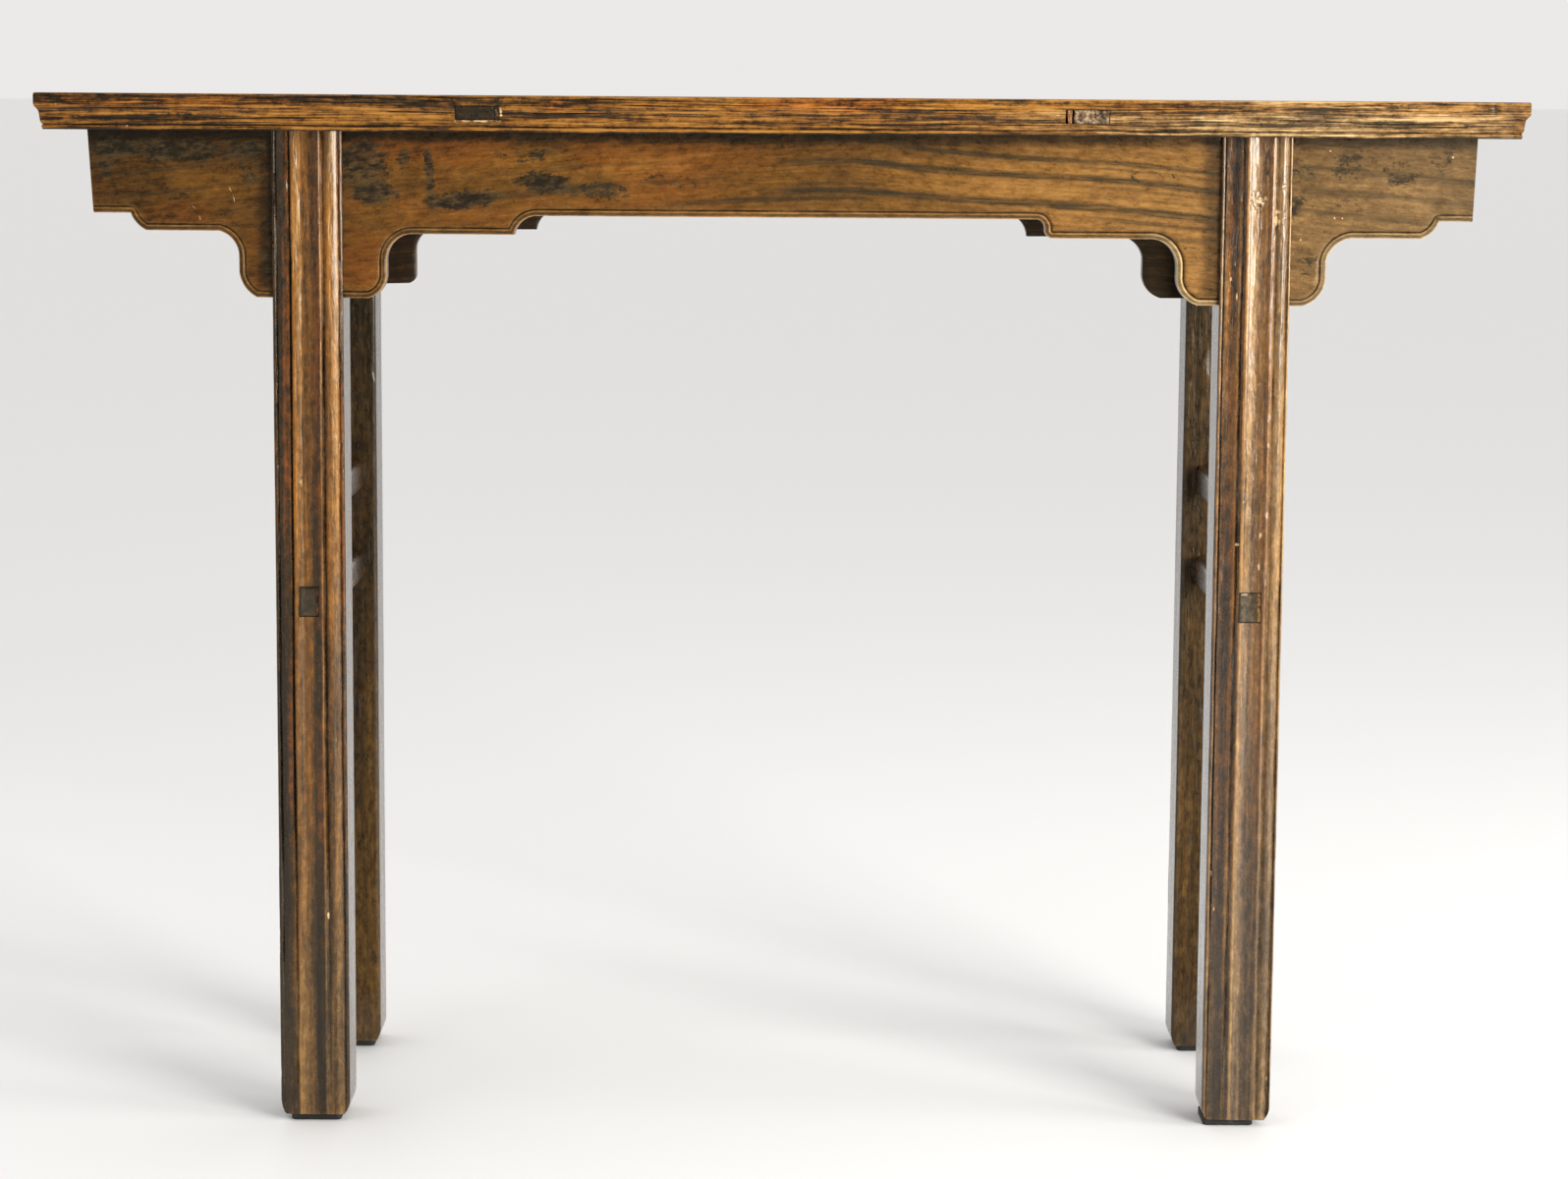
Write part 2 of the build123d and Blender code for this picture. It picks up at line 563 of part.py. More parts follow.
def make_apron(sy, left, right):
    # XZ.offset(d) is the plane Y = -d, and it extrudes towards -Y
    back = Plane.XZ.offset(APRON_BACK) if sy < 0 else Plane.XZ.offset(-APRON_FACE)
    bed = (Plane.XZ.offset(APRON_FACE - QUIRK_DEEP) if sy < 0
           else Plane.XZ.offset(-APRON_FACE - 1))
    with BuildSketch(bed) as quirk:
        add(apron_outline(bed, left, right, widen=30.0, top=UNDER + 30))
        offset(amount=-BEAD_W, kind=Kind.INTERSECTION)
        with BuildSketch(bed, mode=Mode.PRIVATE) as ground:
            add(apron_outline(bed, left, right, widen=30.0, top=UNDER + 30))
            offset(amount=-BEAD_W - QUIRK_W, kind=Kind.INTERSECTION)
        add(ground.sketch, mode=Mode.SUBTRACT)
    with BuildPart() as apron:
        extrude(apron_outline(back, left, right), amount=APRON_FACE - APRON_BACK)
        # a quirk sets the bead along the lower edge off from the ground
        extrude(quirk.sketch, amount=QUIRK_DEEP + 1, mode=Mode.SUBTRACT)
        # housed to a thinner waist where it passes through each leg head
        for sx in (-1, 1):
            for y0, y1 in ((WAIST_OUT, APRON_FACE + 1), (APRON_BACK - 1, WAIST_IN)):
                with Locations((sx * LEG_X, sy * (y0 + y1) / 2, UNDER - 80)):
                    Box(LEG_W, y1 - y0, 161, mode=Mode.SUBTRACT)
        # tongue into the underside of the top
        with Locations((0, sy * sum(APRON_TONGUE_Y) / 2, UNDER + APRON_TONGUE_H / 2)):
            Box(2 * APRON_TONGUE_X, APRON_TONGUE_Y[1] - APRON_TONGUE_Y[0], APRON_TONGUE_H)
        # mitred ends
        for sx in (-1, 1):
            split(bisect_by=mitre_plane(sx, sy), keep=Keep.BOTTOM)
    return apron


apron_front = make_apron(-1, FRONT_LEFT, FRONT_RIGHT)
apron_front.part.label = "apron_front"
export_step(apron_front.part, "parts/apron_front.step")

apron_rear = make_apron(1, REAR_LEFT, REAR_RIGHT)
apron_rear.part.label = "apron_rear"
export_step(apron_rear.part, "parts/apron_rear.step")


def make_end_apron(sx):
    top_x = END_TOP_L if sx < 0 else END_TOP_R
    low_x = END_LOW_L if sx < 0 else END_LOW_R
    slope = (top_x - low_x) / (UNDER - END_Z)

    def p(inward, up):
        return (sx * (low_x + slope * up - inward), END_Z + up)

    with BuildPart() as end:
        with BuildSketch(Plane.XZ.offset(-APRON_FACE)):
            with BuildLine():
                Polyline(
                    p(0, 0), p(0, BEAD_W), p(QUIRK_DEEP, BEAD_W + QUIRK_W / 2),
                    p(0, BEAD_W + QUIRK_W), p(0, UNDER - END_Z),
                    p(END_APRON_T, UNDER - END_Z), p(END_APRON_T, 0), close=True,
                )
            make_face()
        extrude(amount=2 * APRON_FACE)
        for sy in (-1, 1):
            split(bisect_by=mitre_plane(sx, sy), keep=Keep.TOP)
    return end


end_apron_left = make_end_apron(-1)
end_apron_left.part.label = "end_apron_left"
export_step(end_apron_left.part, "parts/end_apron_left.step")

end_apron_right = make_end_apron(1)
end_apron_right.part.label = "end_apron_right"
export_step(end_apron_right.part, "parts/end_apron_right.step")


# =============================================================== stretchers
def make_stretcher(sx, z, through):
    x = sx * LEG_X
    yi = LEG_Y - LEG_D / 2
    with BuildPart() as bar:
        with BuildSketch(Plane.XZ.offset(-yi)):
            with Locations((x, z)):
                RectangleRounded(STR_W, STR_H, STR_ROUND)
        extrude(amount=2 * yi)
        if through:
            for sy in (-1, 1):
                extrude(through_tenon(x, sy, True), amount=THROUGH_H)
        else:
            with Locations((x, 0, z)):
                Box(BLIND[0], 2 * (yi + BLIND[2]), BLIND[1])
    return bar


stretcher_lower_left = make_stretcher(-1, STR_LOW_Z, True)
stretcher_lower_left.part.label = "stretcher_lower_left"
export_step(stretcher_lower_left.part, "parts/stretcher_lower_left.step")

stretcher_lower_right = make_stretcher(1, STR_LOW_Z, True)
stretcher_lower_right.part.label = "stretcher_lower_right"
export_step(stretcher_lower_right.part, "parts/stretcher_lower_right.step")

stretcher_upper_left = make_stretcher(-1, STR_UP_Z, False)
stretcher_upper_left.part.label = "stretcher_upper_left"
export_step(stretcher_upper_left.part, "parts/stretcher_upper_left.step")

stretcher_upper_right = make_stretcher(1, STR_UP_Z, False)
stretcher_upper_right.part.label = "stretcher_upper_right"
export_step(stretcher_upper_right.part, "parts/stretcher_upper_right.step")

with BuildPart() as stretcher_wedges:
    for sx in (-1, 1):
        for sy in (-1, 1):
            extrude(through_tenon(sx * LEG_X, sy, False), amount=THROUGH_H)
stretcher_wedges.part.label = "stretcher_wedges"
export_step(stretcher_wedges.part, "parts/stretcher_wedges.step")


# =============================================================== foot pads
def make_pad(x, y):
    with BuildPart() as pad:
        with BuildSketch(Plane.XY):
            with Locations((x, y)):
                RectangleRounded(PAD[0], PAD[1], 4.0)
        extrude(amount=PAD_H)
        fillet(pad.edges().group_by(Axis.Z)[0], radius=1.0)
    return pad


foot_pad_front_left = make_pad(-LEG_X + PAD_SHIFT["fl"], -LEG_Y)
foot_pad_front_left.part.label = "foot_pad_front_left"
export_step(foot_pad_front_left.part, "parts/foot_pad_front_left.step")

foot_pad_front_right = make_pad(LEG_X + PAD_SHIFT["fr"], -LEG_Y)
foot_pad_front_right.part.label = "foot_pad_front_right"
export_step(foot_pad_front_right.part, "parts/foot_pad_front_right.step")

foot_pad_rear_left = make_pad(-LEG_X + PAD_SHIFT["rl"], LEG_Y)
foot_pad_rear_left.part.label = "foot_pad_rear_left"
export_step(foot_pad_rear_left.part, "parts/foot_pad_rear_left.step")

foot_pad_rear_right = make_pad(LEG_X + PAD_SHIFT["rr"], LEG_Y)
foot_pad_rear_right.part.label = "foot_pad_rear_right"
export_step(foot_pad_rear_right.part, "parts/foot_pad_rear_right.step")
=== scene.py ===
import math

import bpy
import numpy as np
from mathutils import Matrix, Vector, geometry


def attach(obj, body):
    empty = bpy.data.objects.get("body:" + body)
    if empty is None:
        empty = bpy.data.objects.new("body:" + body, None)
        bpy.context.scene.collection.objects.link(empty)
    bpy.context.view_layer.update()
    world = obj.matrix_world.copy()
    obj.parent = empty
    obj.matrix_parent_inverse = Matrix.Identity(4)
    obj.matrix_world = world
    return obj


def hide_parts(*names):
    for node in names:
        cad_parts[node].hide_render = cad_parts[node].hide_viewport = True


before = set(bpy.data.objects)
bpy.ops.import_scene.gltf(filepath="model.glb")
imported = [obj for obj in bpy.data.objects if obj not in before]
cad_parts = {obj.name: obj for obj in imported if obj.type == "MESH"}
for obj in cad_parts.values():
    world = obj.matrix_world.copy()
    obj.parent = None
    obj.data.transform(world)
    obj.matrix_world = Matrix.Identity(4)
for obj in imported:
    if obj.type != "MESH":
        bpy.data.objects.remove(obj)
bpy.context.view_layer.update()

# Old lacquered elm side table. Lengths in this script are millimetres until a
# mesh is made; +X along the table, -Y the front, +Z up.

# ------------------------------------------------------------------ sizes
HL, HD, TOP = 612.5, 177.5, 870.0        # half length, half depth, height
UNDER = 840.0
RAIL_W = 85.0
LEG_X, LEG_Y, LEG_W, LEG_D = 393.0, 125.0, 59.0, 54.0
PAD_H = 6.0


# ------------------------------------------------------------------ noise
def _hash(ix, iy, iz, seed):
    h = (ix * 73856093) ^ (iy * 19349663) ^ (iz * 83492791) ^ (seed * 1013904223)
    h = h & 0xFFFFFFFF
    h = ((h ^ (h >> 16)) * 73244475) & 0xFFFFFFFF
    h = ((h ^ (h >> 16)) * 73244475) & 0xFFFFFFFF
    return (h ^ (h >> 16)) / 4294967295.0


def vnoise(x, y=0.0, z=0.0, seed=0):
    """Smooth value noise from -1 to 1."""
    x, y, z = np.broadcast_arrays(np.asarray(x, float), np.asarray(y, float), np.asarray(z, float))
    i = [np.floor(a).astype(np.int64) for a in (x, y, z)]
    f = [a - b for a, b in zip((x, y, z), i)]
    w = [a * a * a * (a * (a * 6 - 15) + 10) for a in f]
    out = np.zeros_like(x)
    for dx in (0, 1):
        for dy in (0, 1):
            for dz in (0, 1):
                k = (w[0] if dx else 1 - w[0]) * (w[1] if dy else 1 - w[1]) * (w[2] if dz else 1 - w[2])
                out += k * _hash(i[0] + dx, i[1] + dy, i[2] + dz, seed)
    return out * 2 - 1


def fbm(x, y=0.0, z=0.0, seed=0, octaves=3):
    out, amp, norm = 0.0, 1.0, 0.0
    for k in range(octaves):
        out = out + amp * vnoise(np.asarray(x) * 2 ** k + 17.3 * k, np.asarray(y) * 2 ** k + 5.1 * k,
                                 np.asarray(z) * 2 ** k + 9.7 * k, seed + k)
        norm += amp
        amp *= 0.5
    return out / norm


def smooth(a, b, x):
    t = np.clip((np.asarray(x, float) - a) / (b - a), 0, 1)
    return t * t * (3 - 2 * t)


def arc3(p0, pm, p1, n):
    """n + 1 points along the circle through three points."""
    (ax, ay), (bx, by), (cx, cy) = p0, pm, p1
    d = 2 * (ax * (by - cy) + bx * (cy - ay) + cx * (ay - by))
    ux = ((ax**2 + ay**2) * (by - cy) + (bx**2 + by**2) * (cy - ay) + (cx**2 + cy**2) * (ay - by)) / d
    uy = ((ax**2 + ay**2) * (cx - bx) + (bx**2 + by**2) * (ax - cx) + (cx**2 + cy**2) * (bx - ax)) / d
    r = math.hypot(ax - ux, ay - uy)
    a0, am, a1 = (math.atan2(p[1] - uy, p[0] - ux) for p in (p0, pm, p1))
    full = 2 * math.pi
    up = (a1 - a0) % full
    if (am - a0) % full > up:
        up -= full
    return [(ux + r * math.cos(a0 + up * k / n), uy + r * math.sin(a0 + up * k / n)) for k in range(n + 1)]


def chain(*runs):
    """Joins runs of points, leaving out each repeated point."""
    out = []
    for run in runs:
        for p in run:
            if not out or math.hypot(p[0] - out[-1][0], p[1] - out[-1][1]) > 1e-6:
                out.append((float(p[0]), float(p[1])))
    return out


def line(p0, p1, step):
    n = max(1, int(math.ceil(math.hypot(p1[0] - p0[0], p1[1] - p0[1]) / step)))
    return [(p0[0] + (p1[0] - p0[0]) * k / n, p0[1] + (p1[1] - p0[1]) * k / n) for k in range(n + 1)]


def with_values(points, axis, values, tol=0.08):
    """The open run of points with extra ones where coordinate axis passes each
    of values."""
    out = [points[0]]
    for p, q in zip(points, points[1:]):
        found = []
        for v in values:
            if (p[axis] - v) * (q[axis] - v) < 0:
                t = (v - p[axis]) / (q[axis] - p[axis])
                found.append((t, (p[0] + (q[0] - p[0]) * t, p[1] + (q[1] - p[1]) * t)))
        for t, m in sorted(found):
            if math.dist(m, out[-1]) > tol or len(out) == 1:
                out.append(m)
            else:
                out[-1] = m
        if math.dist(q, out[-1]) > tol or abs(q[axis] - out[-1][axis]) < 1e-9:
            out.append(q)
        elif not any(abs(out[-1][axis] - v) < 1e-6 for v in values):
            out[-1] = q
    return out


def rows(lo, hi, step, extra=(), near=0.3):
    """Sorted stations from lo to hi, with extra ones kept exactly."""
    n = max(1, int(round((hi - lo) / step)))
    base = np.linspace(lo, hi, n + 1)
    fixed = sorted(set([lo, hi] + [e for e in extra if lo < e < hi]))
    keep = [b for b in base if all(abs(b - e) > near for e in fixed)]
    return np.array(sorted(fixed + keep))


# ------------------------------------------------------------------ meshes
class Build:
    """Collects vertices, faces, UVs and vertex values of one piece."""

    def __init__(self):
        self.co, self.val, self.faces, self.uv, self.n = [], [], [], [], 0

    def add(self, co, **values):
        """co is [..., 3] in mm. values are arrays or numbers: cav, dark, chip,
        warm, bare, light, and grain, which is [..., 3] in mm."""
        co = np.asarray(co, float)
        shape = co.shape[:-1]
        flat = co.reshape(-1, 3)
        v = np.zeros((len(flat), 9))
        for k, name in enumerate(("cav", "dark", "chip", "warm", "bare", "light")):
            v[:, k] = np.broadcast_to(values.get(name, 0.0), shape).reshape(-1)
        grain = values.get("grain")
        v[:, 6:9] = flat if grain is None else np.asarray(grain, float).reshape(-1, 3)
        self.co.append(flat)
        self.val.append(v)
        ids = np.arange(self.n, self.n + len(flat)).reshape(shape)
        self.n += len(flat)
        return ids

    def quads(self, ids, wrap=False, skip=None, box=(0, 0, 1, 1), u=None, v=None, flip=False):
        """Faces over a grid of indices [S, N]. u and v are the parameters of the
        columns and rows, from 0 to 1, and box is the place in the UV map."""
        s, n = ids.shape
        cols = n if wrap else n - 1
        uu = np.linspace(0, 1, cols + 1) if u is None else np.asarray(u, float)
        vv = np.linspace(0, 1, s) if v is None else np.asarray(v, float)
        for j in range(s - 1):
            for i in range(cols):
                if skip is not None and skip(j, i):
                    continue
                i2 = (i + 1) % n
                f = [ids[j, i], ids[j, i2], ids[j + 1, i2], ids[j + 1, i]]
                t = [(uu[i], vv[j]), (uu[i + 1], vv[j]), (uu[i + 1], vv[j + 1]), (uu[i], vv[j + 1])]
                if flip:
                    f.reverse()
                    t.reverse()
                self.faces.append([int(k) for k in f])
                self.uv.append([(box[0] + (box[2] - box[0]) * a, box[1] + (box[3] - box[1]) * b) for a, b in t])

    def poly(self, ids, box=(0.97, 0.0, 1.0, 0.03), uv=None):
        """One face of any number of corners."""
        ids = [int(k) for k in ids]
        self.faces.append(ids)
        if uv is None:
            n = len(ids)
            uv = [(0.5 + 0.5 * math.cos(6.2832 * k / n), 0.5 + 0.5 * math.sin(6.2832 * k / n)) for k in range(n)]
        self.uv.append([(box[0] + (box[2] - box[0]) * a, box[1] + (box[3] - box[1]) * b) for a, b in uv])

    def object(self, name, material, nodes, slot="lacquered_elm", sharp=None):
        co = np.concatenate(self.co) / 1000.0
        val = np.concatenate(self.val)
        me = bpy.data.meshes.new(name)
        me.from_pydata(co.tolist(), [], self.faces)
        layer = me.uv_layers.new(name="OFBake")
        layer.data.foreach_set("uv", np.array([t for f in self.uv for t in f], np.float32).ravel())
        for title, cols, scale in (("wear", (0, 1, 2), 1.0), ("tone", (3, 4, 5), 1.0), ("grain", (6, 7, 8), 0.001)):
            at = me.attributes.new(title, "FLOAT_VECTOR", "POINT")
            at.data.foreach_set("vector", (val[:, cols] * scale).astype(np.float32).ravel())
        me.polygons.foreach_set("use_smooth", np.ones(len(me.polygons), bool))
        if me.validate():
            print("mesh mended:", name)
        # every shell faces outwards
        import bmesh
        bm = bmesh.new()
        bm.from_mesh(me)
        bmesh.ops.recalc_face_normals(bm, faces=bm.faces)
        open_edges = sum(1 for e in bm.edges if not e.is_manifold)
        bm.to_mesh(me)
        bm.free()
        if sharp is not None:
            me.set_sharp_from_angle(angle=math.radians(sharp))
        me.materials.append(material)
        ob = bpy.data.objects.new(name, me)
        bpy.context.scene.collection.objects.link(ob)
        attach(ob, "root")
        if nodes:
            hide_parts(*nodes)
        print(f"{name}: {len(me.vertices)} vertices, {len(me.polygons)} faces, {open_edges} open edges")
        return ob


def grid_normals(p, wrap=True):
    """Outward unit normals of a tube of points [S, N, 3]."""
    a = np.gradient(p, axis=0)
    if wrap:
        b = (np.roll(p, -1, axis=1) - np.roll(p, 1, axis=1)) / 2
    else:
        b = np.gradient(p, axis=1)
    n = np.cross(a, b)
    n /= np.maximum(np.linalg.norm(n, axis=-1, keepdims=True), 1e-9)
    out = p - p.mean(axis=1, keepdims=True)
    if (n * out).sum() < 0:
        n = -n
    return n


def box_grid(b, xs, ys, zs, shape=None, values=None, box=(0, 0, 1, 1), skip=()):
    """Closed box whose faces are grids on the given coordinates. shape moves
    the points [N, 3] and values gives their values."""
    nx, ny, nz = len(xs), len(ys), len(zs)
    key, pts = {}, []

    def vid(i, j, k):
        if (i, j, k) not in key:
            key[(i, j, k)] = len(pts)
            pts.append((xs[i], ys[j], zs[k]))
        return key[(i, j, k)]

    faces, uvs = [], []
    # six cells: big faces get the larger share of the map
    cells = {"z1": (0.0, 0.0, 1.0, 0.36), "z0": (0.0, 0.37, 1.0, 0.62), "y0": (0.0, 0.63, 1.0, 0.78),
             "y1": (0.0, 0.79, 1.0, 0.92), "x0": (0.0, 0.93, 0.49, 1.0), "x1": (0.51, 0.93, 1.0, 1.0)}

    def cell(name, a, c):
        x0, y0, x1, y1 = cells[name]
        u, v = x0 + (x1 - x0) * a, y0 + (y1 - y0) * c
        return (box[0] + (box[2] - box[0]) * u, box[1] + (box[3] - box[1]) * v)

    def side(name, n1, n2, get):
        for a in range(n1 - 1):
            for c in range(n2 - 1):
                faces.append([get(a, c), get(a + 1, c), get(a + 1, c + 1), get(a, c + 1)])
                uvs.append([cell(name, aa / (n1 - 1), cc / (n2 - 1)) for aa, cc in
                            ((a, c), (a + 1, c), (a + 1, c + 1), (a, c + 1))])

    side("z0", nx, ny, lambda a, c: vid(a, c, 0))
    side("z1", nx, ny, lambda a, c: vid(a, c, nz - 1))
    side("y0", nx, nz, lambda a, c: vid(a, 0, c))
    side("y1", nx, nz, lambda a, c: vid(a, ny - 1, c))
    side("x0", ny, nz, lambda a, c: vid(0, a, c))
    side("x1", ny, nz, lambda a, c: vid(nx - 1, a, c))
    p = np.array(pts, float)
    q = p if shape is None else shape(p.copy())
    ids = b.add(q, **(values(p) if values else {}))
    for f, t in zip(faces, uvs):
        b.faces.append([int(ids[k]) for k in f])
        b.uv.append(t)
    return ids


def rounded(lo, hi, r):
    """A function that rounds the edges of the box from lo to hi by r, which is
    a number or three."""
    lo, hi = np.array(lo, float), np.array(hi, float)
    r = np.broadcast_to(np.asarray(r, float), (3,)).copy()
    r = np.maximum(r, 1e-6)

    def go(p):
        q = np.clip(p, lo + r, hi - r)
        d = (p - q) / r
        length = np.linalg.norm(d, axis=1, keepdims=True)
        most = np.abs(d).max(axis=1, keepdims=True)
        return q + np.where(length > 0, d / np.maximum(length, 1e-9) * most, 0) * r

    return go


def even(lo, hi, step, edge=0.8):
    """Coordinates from lo to hi with a few close together at each end."""
    inner = rows(lo + edge, hi - edge, step)
    return np.concatenate([[lo, lo + edge * 0.4], inner, [hi - edge * 0.4, hi]])


# ------------------------------------------------------------------ materials
class Nodes:
    """Short calls for building a node tree."""

    def __init__(self, name):
        self.mat = bpy.data.materials.new(name)
        self.mat.use_nodes = True
        self.nt = self.mat.node_tree
        self.nt.nodes.clear()
        self.out = self.new("ShaderNodeOutputMaterial")
        self.bsdf = self.new("ShaderNodeBsdfPrincipled")
        self.nt.links.new(self.bsdf.outputs[0], self.out.inputs[0])

    def new(self, kind):
        return self.nt.nodes.new(kind)

    def put(self, value, socket):
        if isinstance(value, bpy.types.NodeSocket):
            self.nt.links.new(value, socket)
        elif value is not None:
            socket.default_value = value

    def attribute(self, name):
        n = self.new("ShaderNodeAttribute")
        n.attribute_type = "GEOMETRY"
        n.attribute_name = name
        return n.outputs["Vector"]

    def split(self, v):
        n = self.new("ShaderNodeSeparateXYZ")
        self.put(v, n.inputs[0])
        return n.outputs

    def join(self, x, y, z):
        n = self.new("ShaderNodeCombineXYZ")
        for k, v in enumerate((x, y, z)):
            self.put(v, n.inputs[k])
        return n.outputs[0]

    def vec(self, op, a, b):
        n = self.new("ShaderNodeVectorMath")
        n.operation = op
        self.put(a, n.inputs[0])
        self.put(b, n.inputs[1])
        return n.outputs[0]

    def math(self, op, a, b=None, c=None, clamp=False):
        n = self.new("ShaderNodeMath")
        n.operation = op
        n.use_clamp = clamp
        self.put(a, n.inputs[0])
        self.put(b, n.inputs[1])
        self.put(c, n.inputs[2])
        return n.outputs[0]

    def noise(self, v, detail=3.0, rough=0.55, distort=0.0, scale=1.0):
        n = self.new("ShaderNodeTexNoise")
        self.put(v, n.inputs["Vector"])
        n.inputs["Scale"].default_value = scale
        n.inputs["Detail"].default_value = detail
        n.inputs["Roughness"].default_value = rough
        n.inputs["Distortion"].default_value = distort
        return n.outputs[0]

    def range(self, v, a, b, c=0.0, d=1.0, kind="SMOOTHSTEP"):
        n = self.new("ShaderNodeMapRange")
        n.interpolation_type = kind
        n.clamp = True
        self.put(v, n.inputs["Value"])
        for s, x in zip(("From Min", "From Max", "To Min", "To Max"), (a, b, c, d)):
            self.put(x, n.inputs[s])
        return n.outputs[0]

    def ramp(self, v, stops, kind="LINEAR"):
        n = self.new("ShaderNodeValToRGB")
        n.color_ramp.interpolation = kind
        els = n.color_ramp.elements
        while len(els) < len(stops):
            els.new(0.5)
        for e, (at, colour) in zip(els, stops):
            e.position = at
            e.color = (*colour, 1.0)
        self.put(v, n.inputs[0])
        return n.outputs[0]

    def mix(self, f, a, b, kind="MIX"):
        n = self.new("ShaderNodeMix")
        n.data_type = "RGBA"
        n.blend_type = kind
        n.clamp_factor = True
        self.put(f, n.inputs[0])
        for value, socket in ((a, n.inputs[6]), (b, n.inputs[7])):
            if isinstance(value, tuple):
                value = (*value, 1.0)
            self.put(value, socket)
        return n.outputs[2]

    def bump(self, height, distance, strength=1.0, normal=None):
        n = self.new("ShaderNodeBump")
        n.inputs["Strength"].default_value = strength
        n.inputs["Distance"].default_value = distance
        self.put(height, n.inputs["Height"])
        self.put(normal, n.inputs["Normal"])
        return n.outputs[0]


def srgb(r, g, b):
    """Linear colour from 0..255 sRGB."""
    def f(c):
        c /= 255.0
        return c / 12.92 if c <= 0.04045 else ((c + 0.055) / 1.055) ** 2.4
    return (f(r), f(g), f(b))


def elm(name, seed=0.0, black=(20, 13, 6), deep=(48, 30, 10), mid=(94, 59, 19), gold=(146, 94, 32),
        pale=(188, 140, 74), red=(122, 55, 15), olive=(36, 32, 20), streak=0.0, contrast=1.0, fine=1.0, broadness=1.0,
        mottling=1.0, patches=0.0, rough=0.30, bump=1.0, wear=1.0, grime=1.0, bands=None, coat=0.4, across=1.0,
        along=1.0, band_dark=0.75, ripple=1.0, pore_k=0.6, linear=0.0, spots=1.0, spec=0.28, clouds=0.0,
        film=0.25, crisp=1.0, tint=(1.0, 0.84, 0.58), flecks=1.0, coat_ior=1.28, dull=0.0):
    """Old lacquered elm. streak moves the ground darker (negative) or lighter,
    patches is how much old dark lacquer is left, across and along scale the
    streaks, dull is how much rougher the upward faces are."""
    m = Nodes(name)
    g = m.vec("ADD", m.attribute("grain"), (seed * 1.7, seed * 0.61, seed * 0.37))
    cav, dark, chip = m.split(m.attribute("wear"))
    warm, bare, light = m.split(m.attribute("tone"))

    def field(kx, kyz, detail, rough_, distort=0.0, src=None):
        return m.noise(m.vec("MULTIPLY", src or g, (kx, kyz, kyz)), detail, rough_, distort)

    def centred(v, gain):
        return m.math("MULTIPLY", m.math("SUBTRACT", v, 0.5), gain)

    slow = field(2.2, 14.0, 2.0, 0.5)
    g2 = m.vec("ADD", g, m.vec("MULTIPLY", m.join(0.0, slow, slow), (0.0, 0.010, 0.010)))
    broad = field(3.4 * along, 70.0 * across, 3.0, 0.55, 0.0, g2)
    streaks = field(7.0 * along, 330.0 * across, 6.0, 0.64, 0.2, g2)
    fibre = field(26.0, 1150.0, 4.0, 0.62, 0.0, g2)
    pores = field(62.0, 2300.0, 1.0, 0.5)
    blotch = field(40.0 * spots, 56.0 * spots, 8.0, 0.72, 0.5)
    speck = field(170.0 * spots, 300.0 * spots, 5.0, 0.72, 0.5)
    mott = field(95.0, 190.0, 6.0, 0.68, 0.2)
    grit = field(420.0, 640.0, 3.0, 0.6)
    wavy = field(46.0, 210.0, 3.0, 0.5)
    furrow = field(7.0 * along, 300.0 * across, 2.0, 0.5, 0.0, g2)
    pitted = field(80.0, 170.0, 2.0, 0.5, 0.3)

    # ground tone: streaks on broader bands, mottled by old lacquer
    tone = m.math("ADD", centred(streaks, 2.3 * contrast), m.math("ADD", light, 0.5 + streak))
    tone = m.math("ADD", centred(broad, 1.3 * broadness * contrast), tone)
    tone = m.math("ADD", centred(fibre, 0.62 * fine), tone)
    tone = m.math("ADD", centred(mott, 0.95 * mottling), tone)
    tone = m.math("ADD", centred(grit, 0.34 * fine), tone)
    if clouds:
        tone = m.math("ADD", centred(blotch, 0.75 * clouds), tone)
    # ridges are rubbed bright, grooves hold dirt
    ridge = m.range(m.math("MULTIPLY", cav, -1.0), 0.15, 1.0)
    groove = m.range(cav, 0.22, 1.05)
    tone = m.math("MULTIPLY_ADD", ridge, 0.17 * wear, tone)
    tone = m.math("MULTIPLY_ADD", groove, -0.42 * grime, tone)
    colour = m.ramp(tone, [
        (0.0, srgb(*black)), (0.14, srgb(*black)), (0.32, srgb(*deep)), (0.52, srgb(*mid)),
        (0.74, srgb(*gold)), (1.0, srgb(*pale))])
    if clouds:
        # thin olive film of old lacquer in soft clouds
        thin = m.range(m.math("ADD", centred(blotch, 1.0), m.math("ADD", centred(speck, 0.6), centred(mott, 0.4))), -0.02, 0.20)
        colour = m.mix(m.math("MULTIPLY", thin, film), colour, srgb(*[1.3 * c for c in olive]))
    # redder places
    redder = m.math("MULTIPLY", m.range(warm, 0.0, 1.0, kind="LINEAR"), m.range(tone, 0.24, 0.5, 0.0, 0.85))
    redder = m.math("MULTIPLY", redder, m.math("SUBTRACT", 1.0, m.math("MULTIPLY", ridge, 0.75)))
    colour = m.mix(redder, colour, m.mix(m.range(tone, 0.4, 0.9), srgb(*red), srgb(176, 96, 32)))
    # and greyer ones, where the lacquer is worn thin and dusty, and where painted highlights on the legs and the apron
    # bead are paled towards cream and white
    colour = m.mix(m.range(m.math("MULTIPLY", warm, -1.0), 0.0, 1.0, kind="LINEAR"), colour, m.ramp(tone, [
        (0.1, srgb(30, 23, 14)), (0.32, srgb(60, 46, 29)), (0.52, srgb(102, 80, 51)), (0.74, srgb(150, 123, 82)),
        (1.0, srgb(202, 178, 132))]))
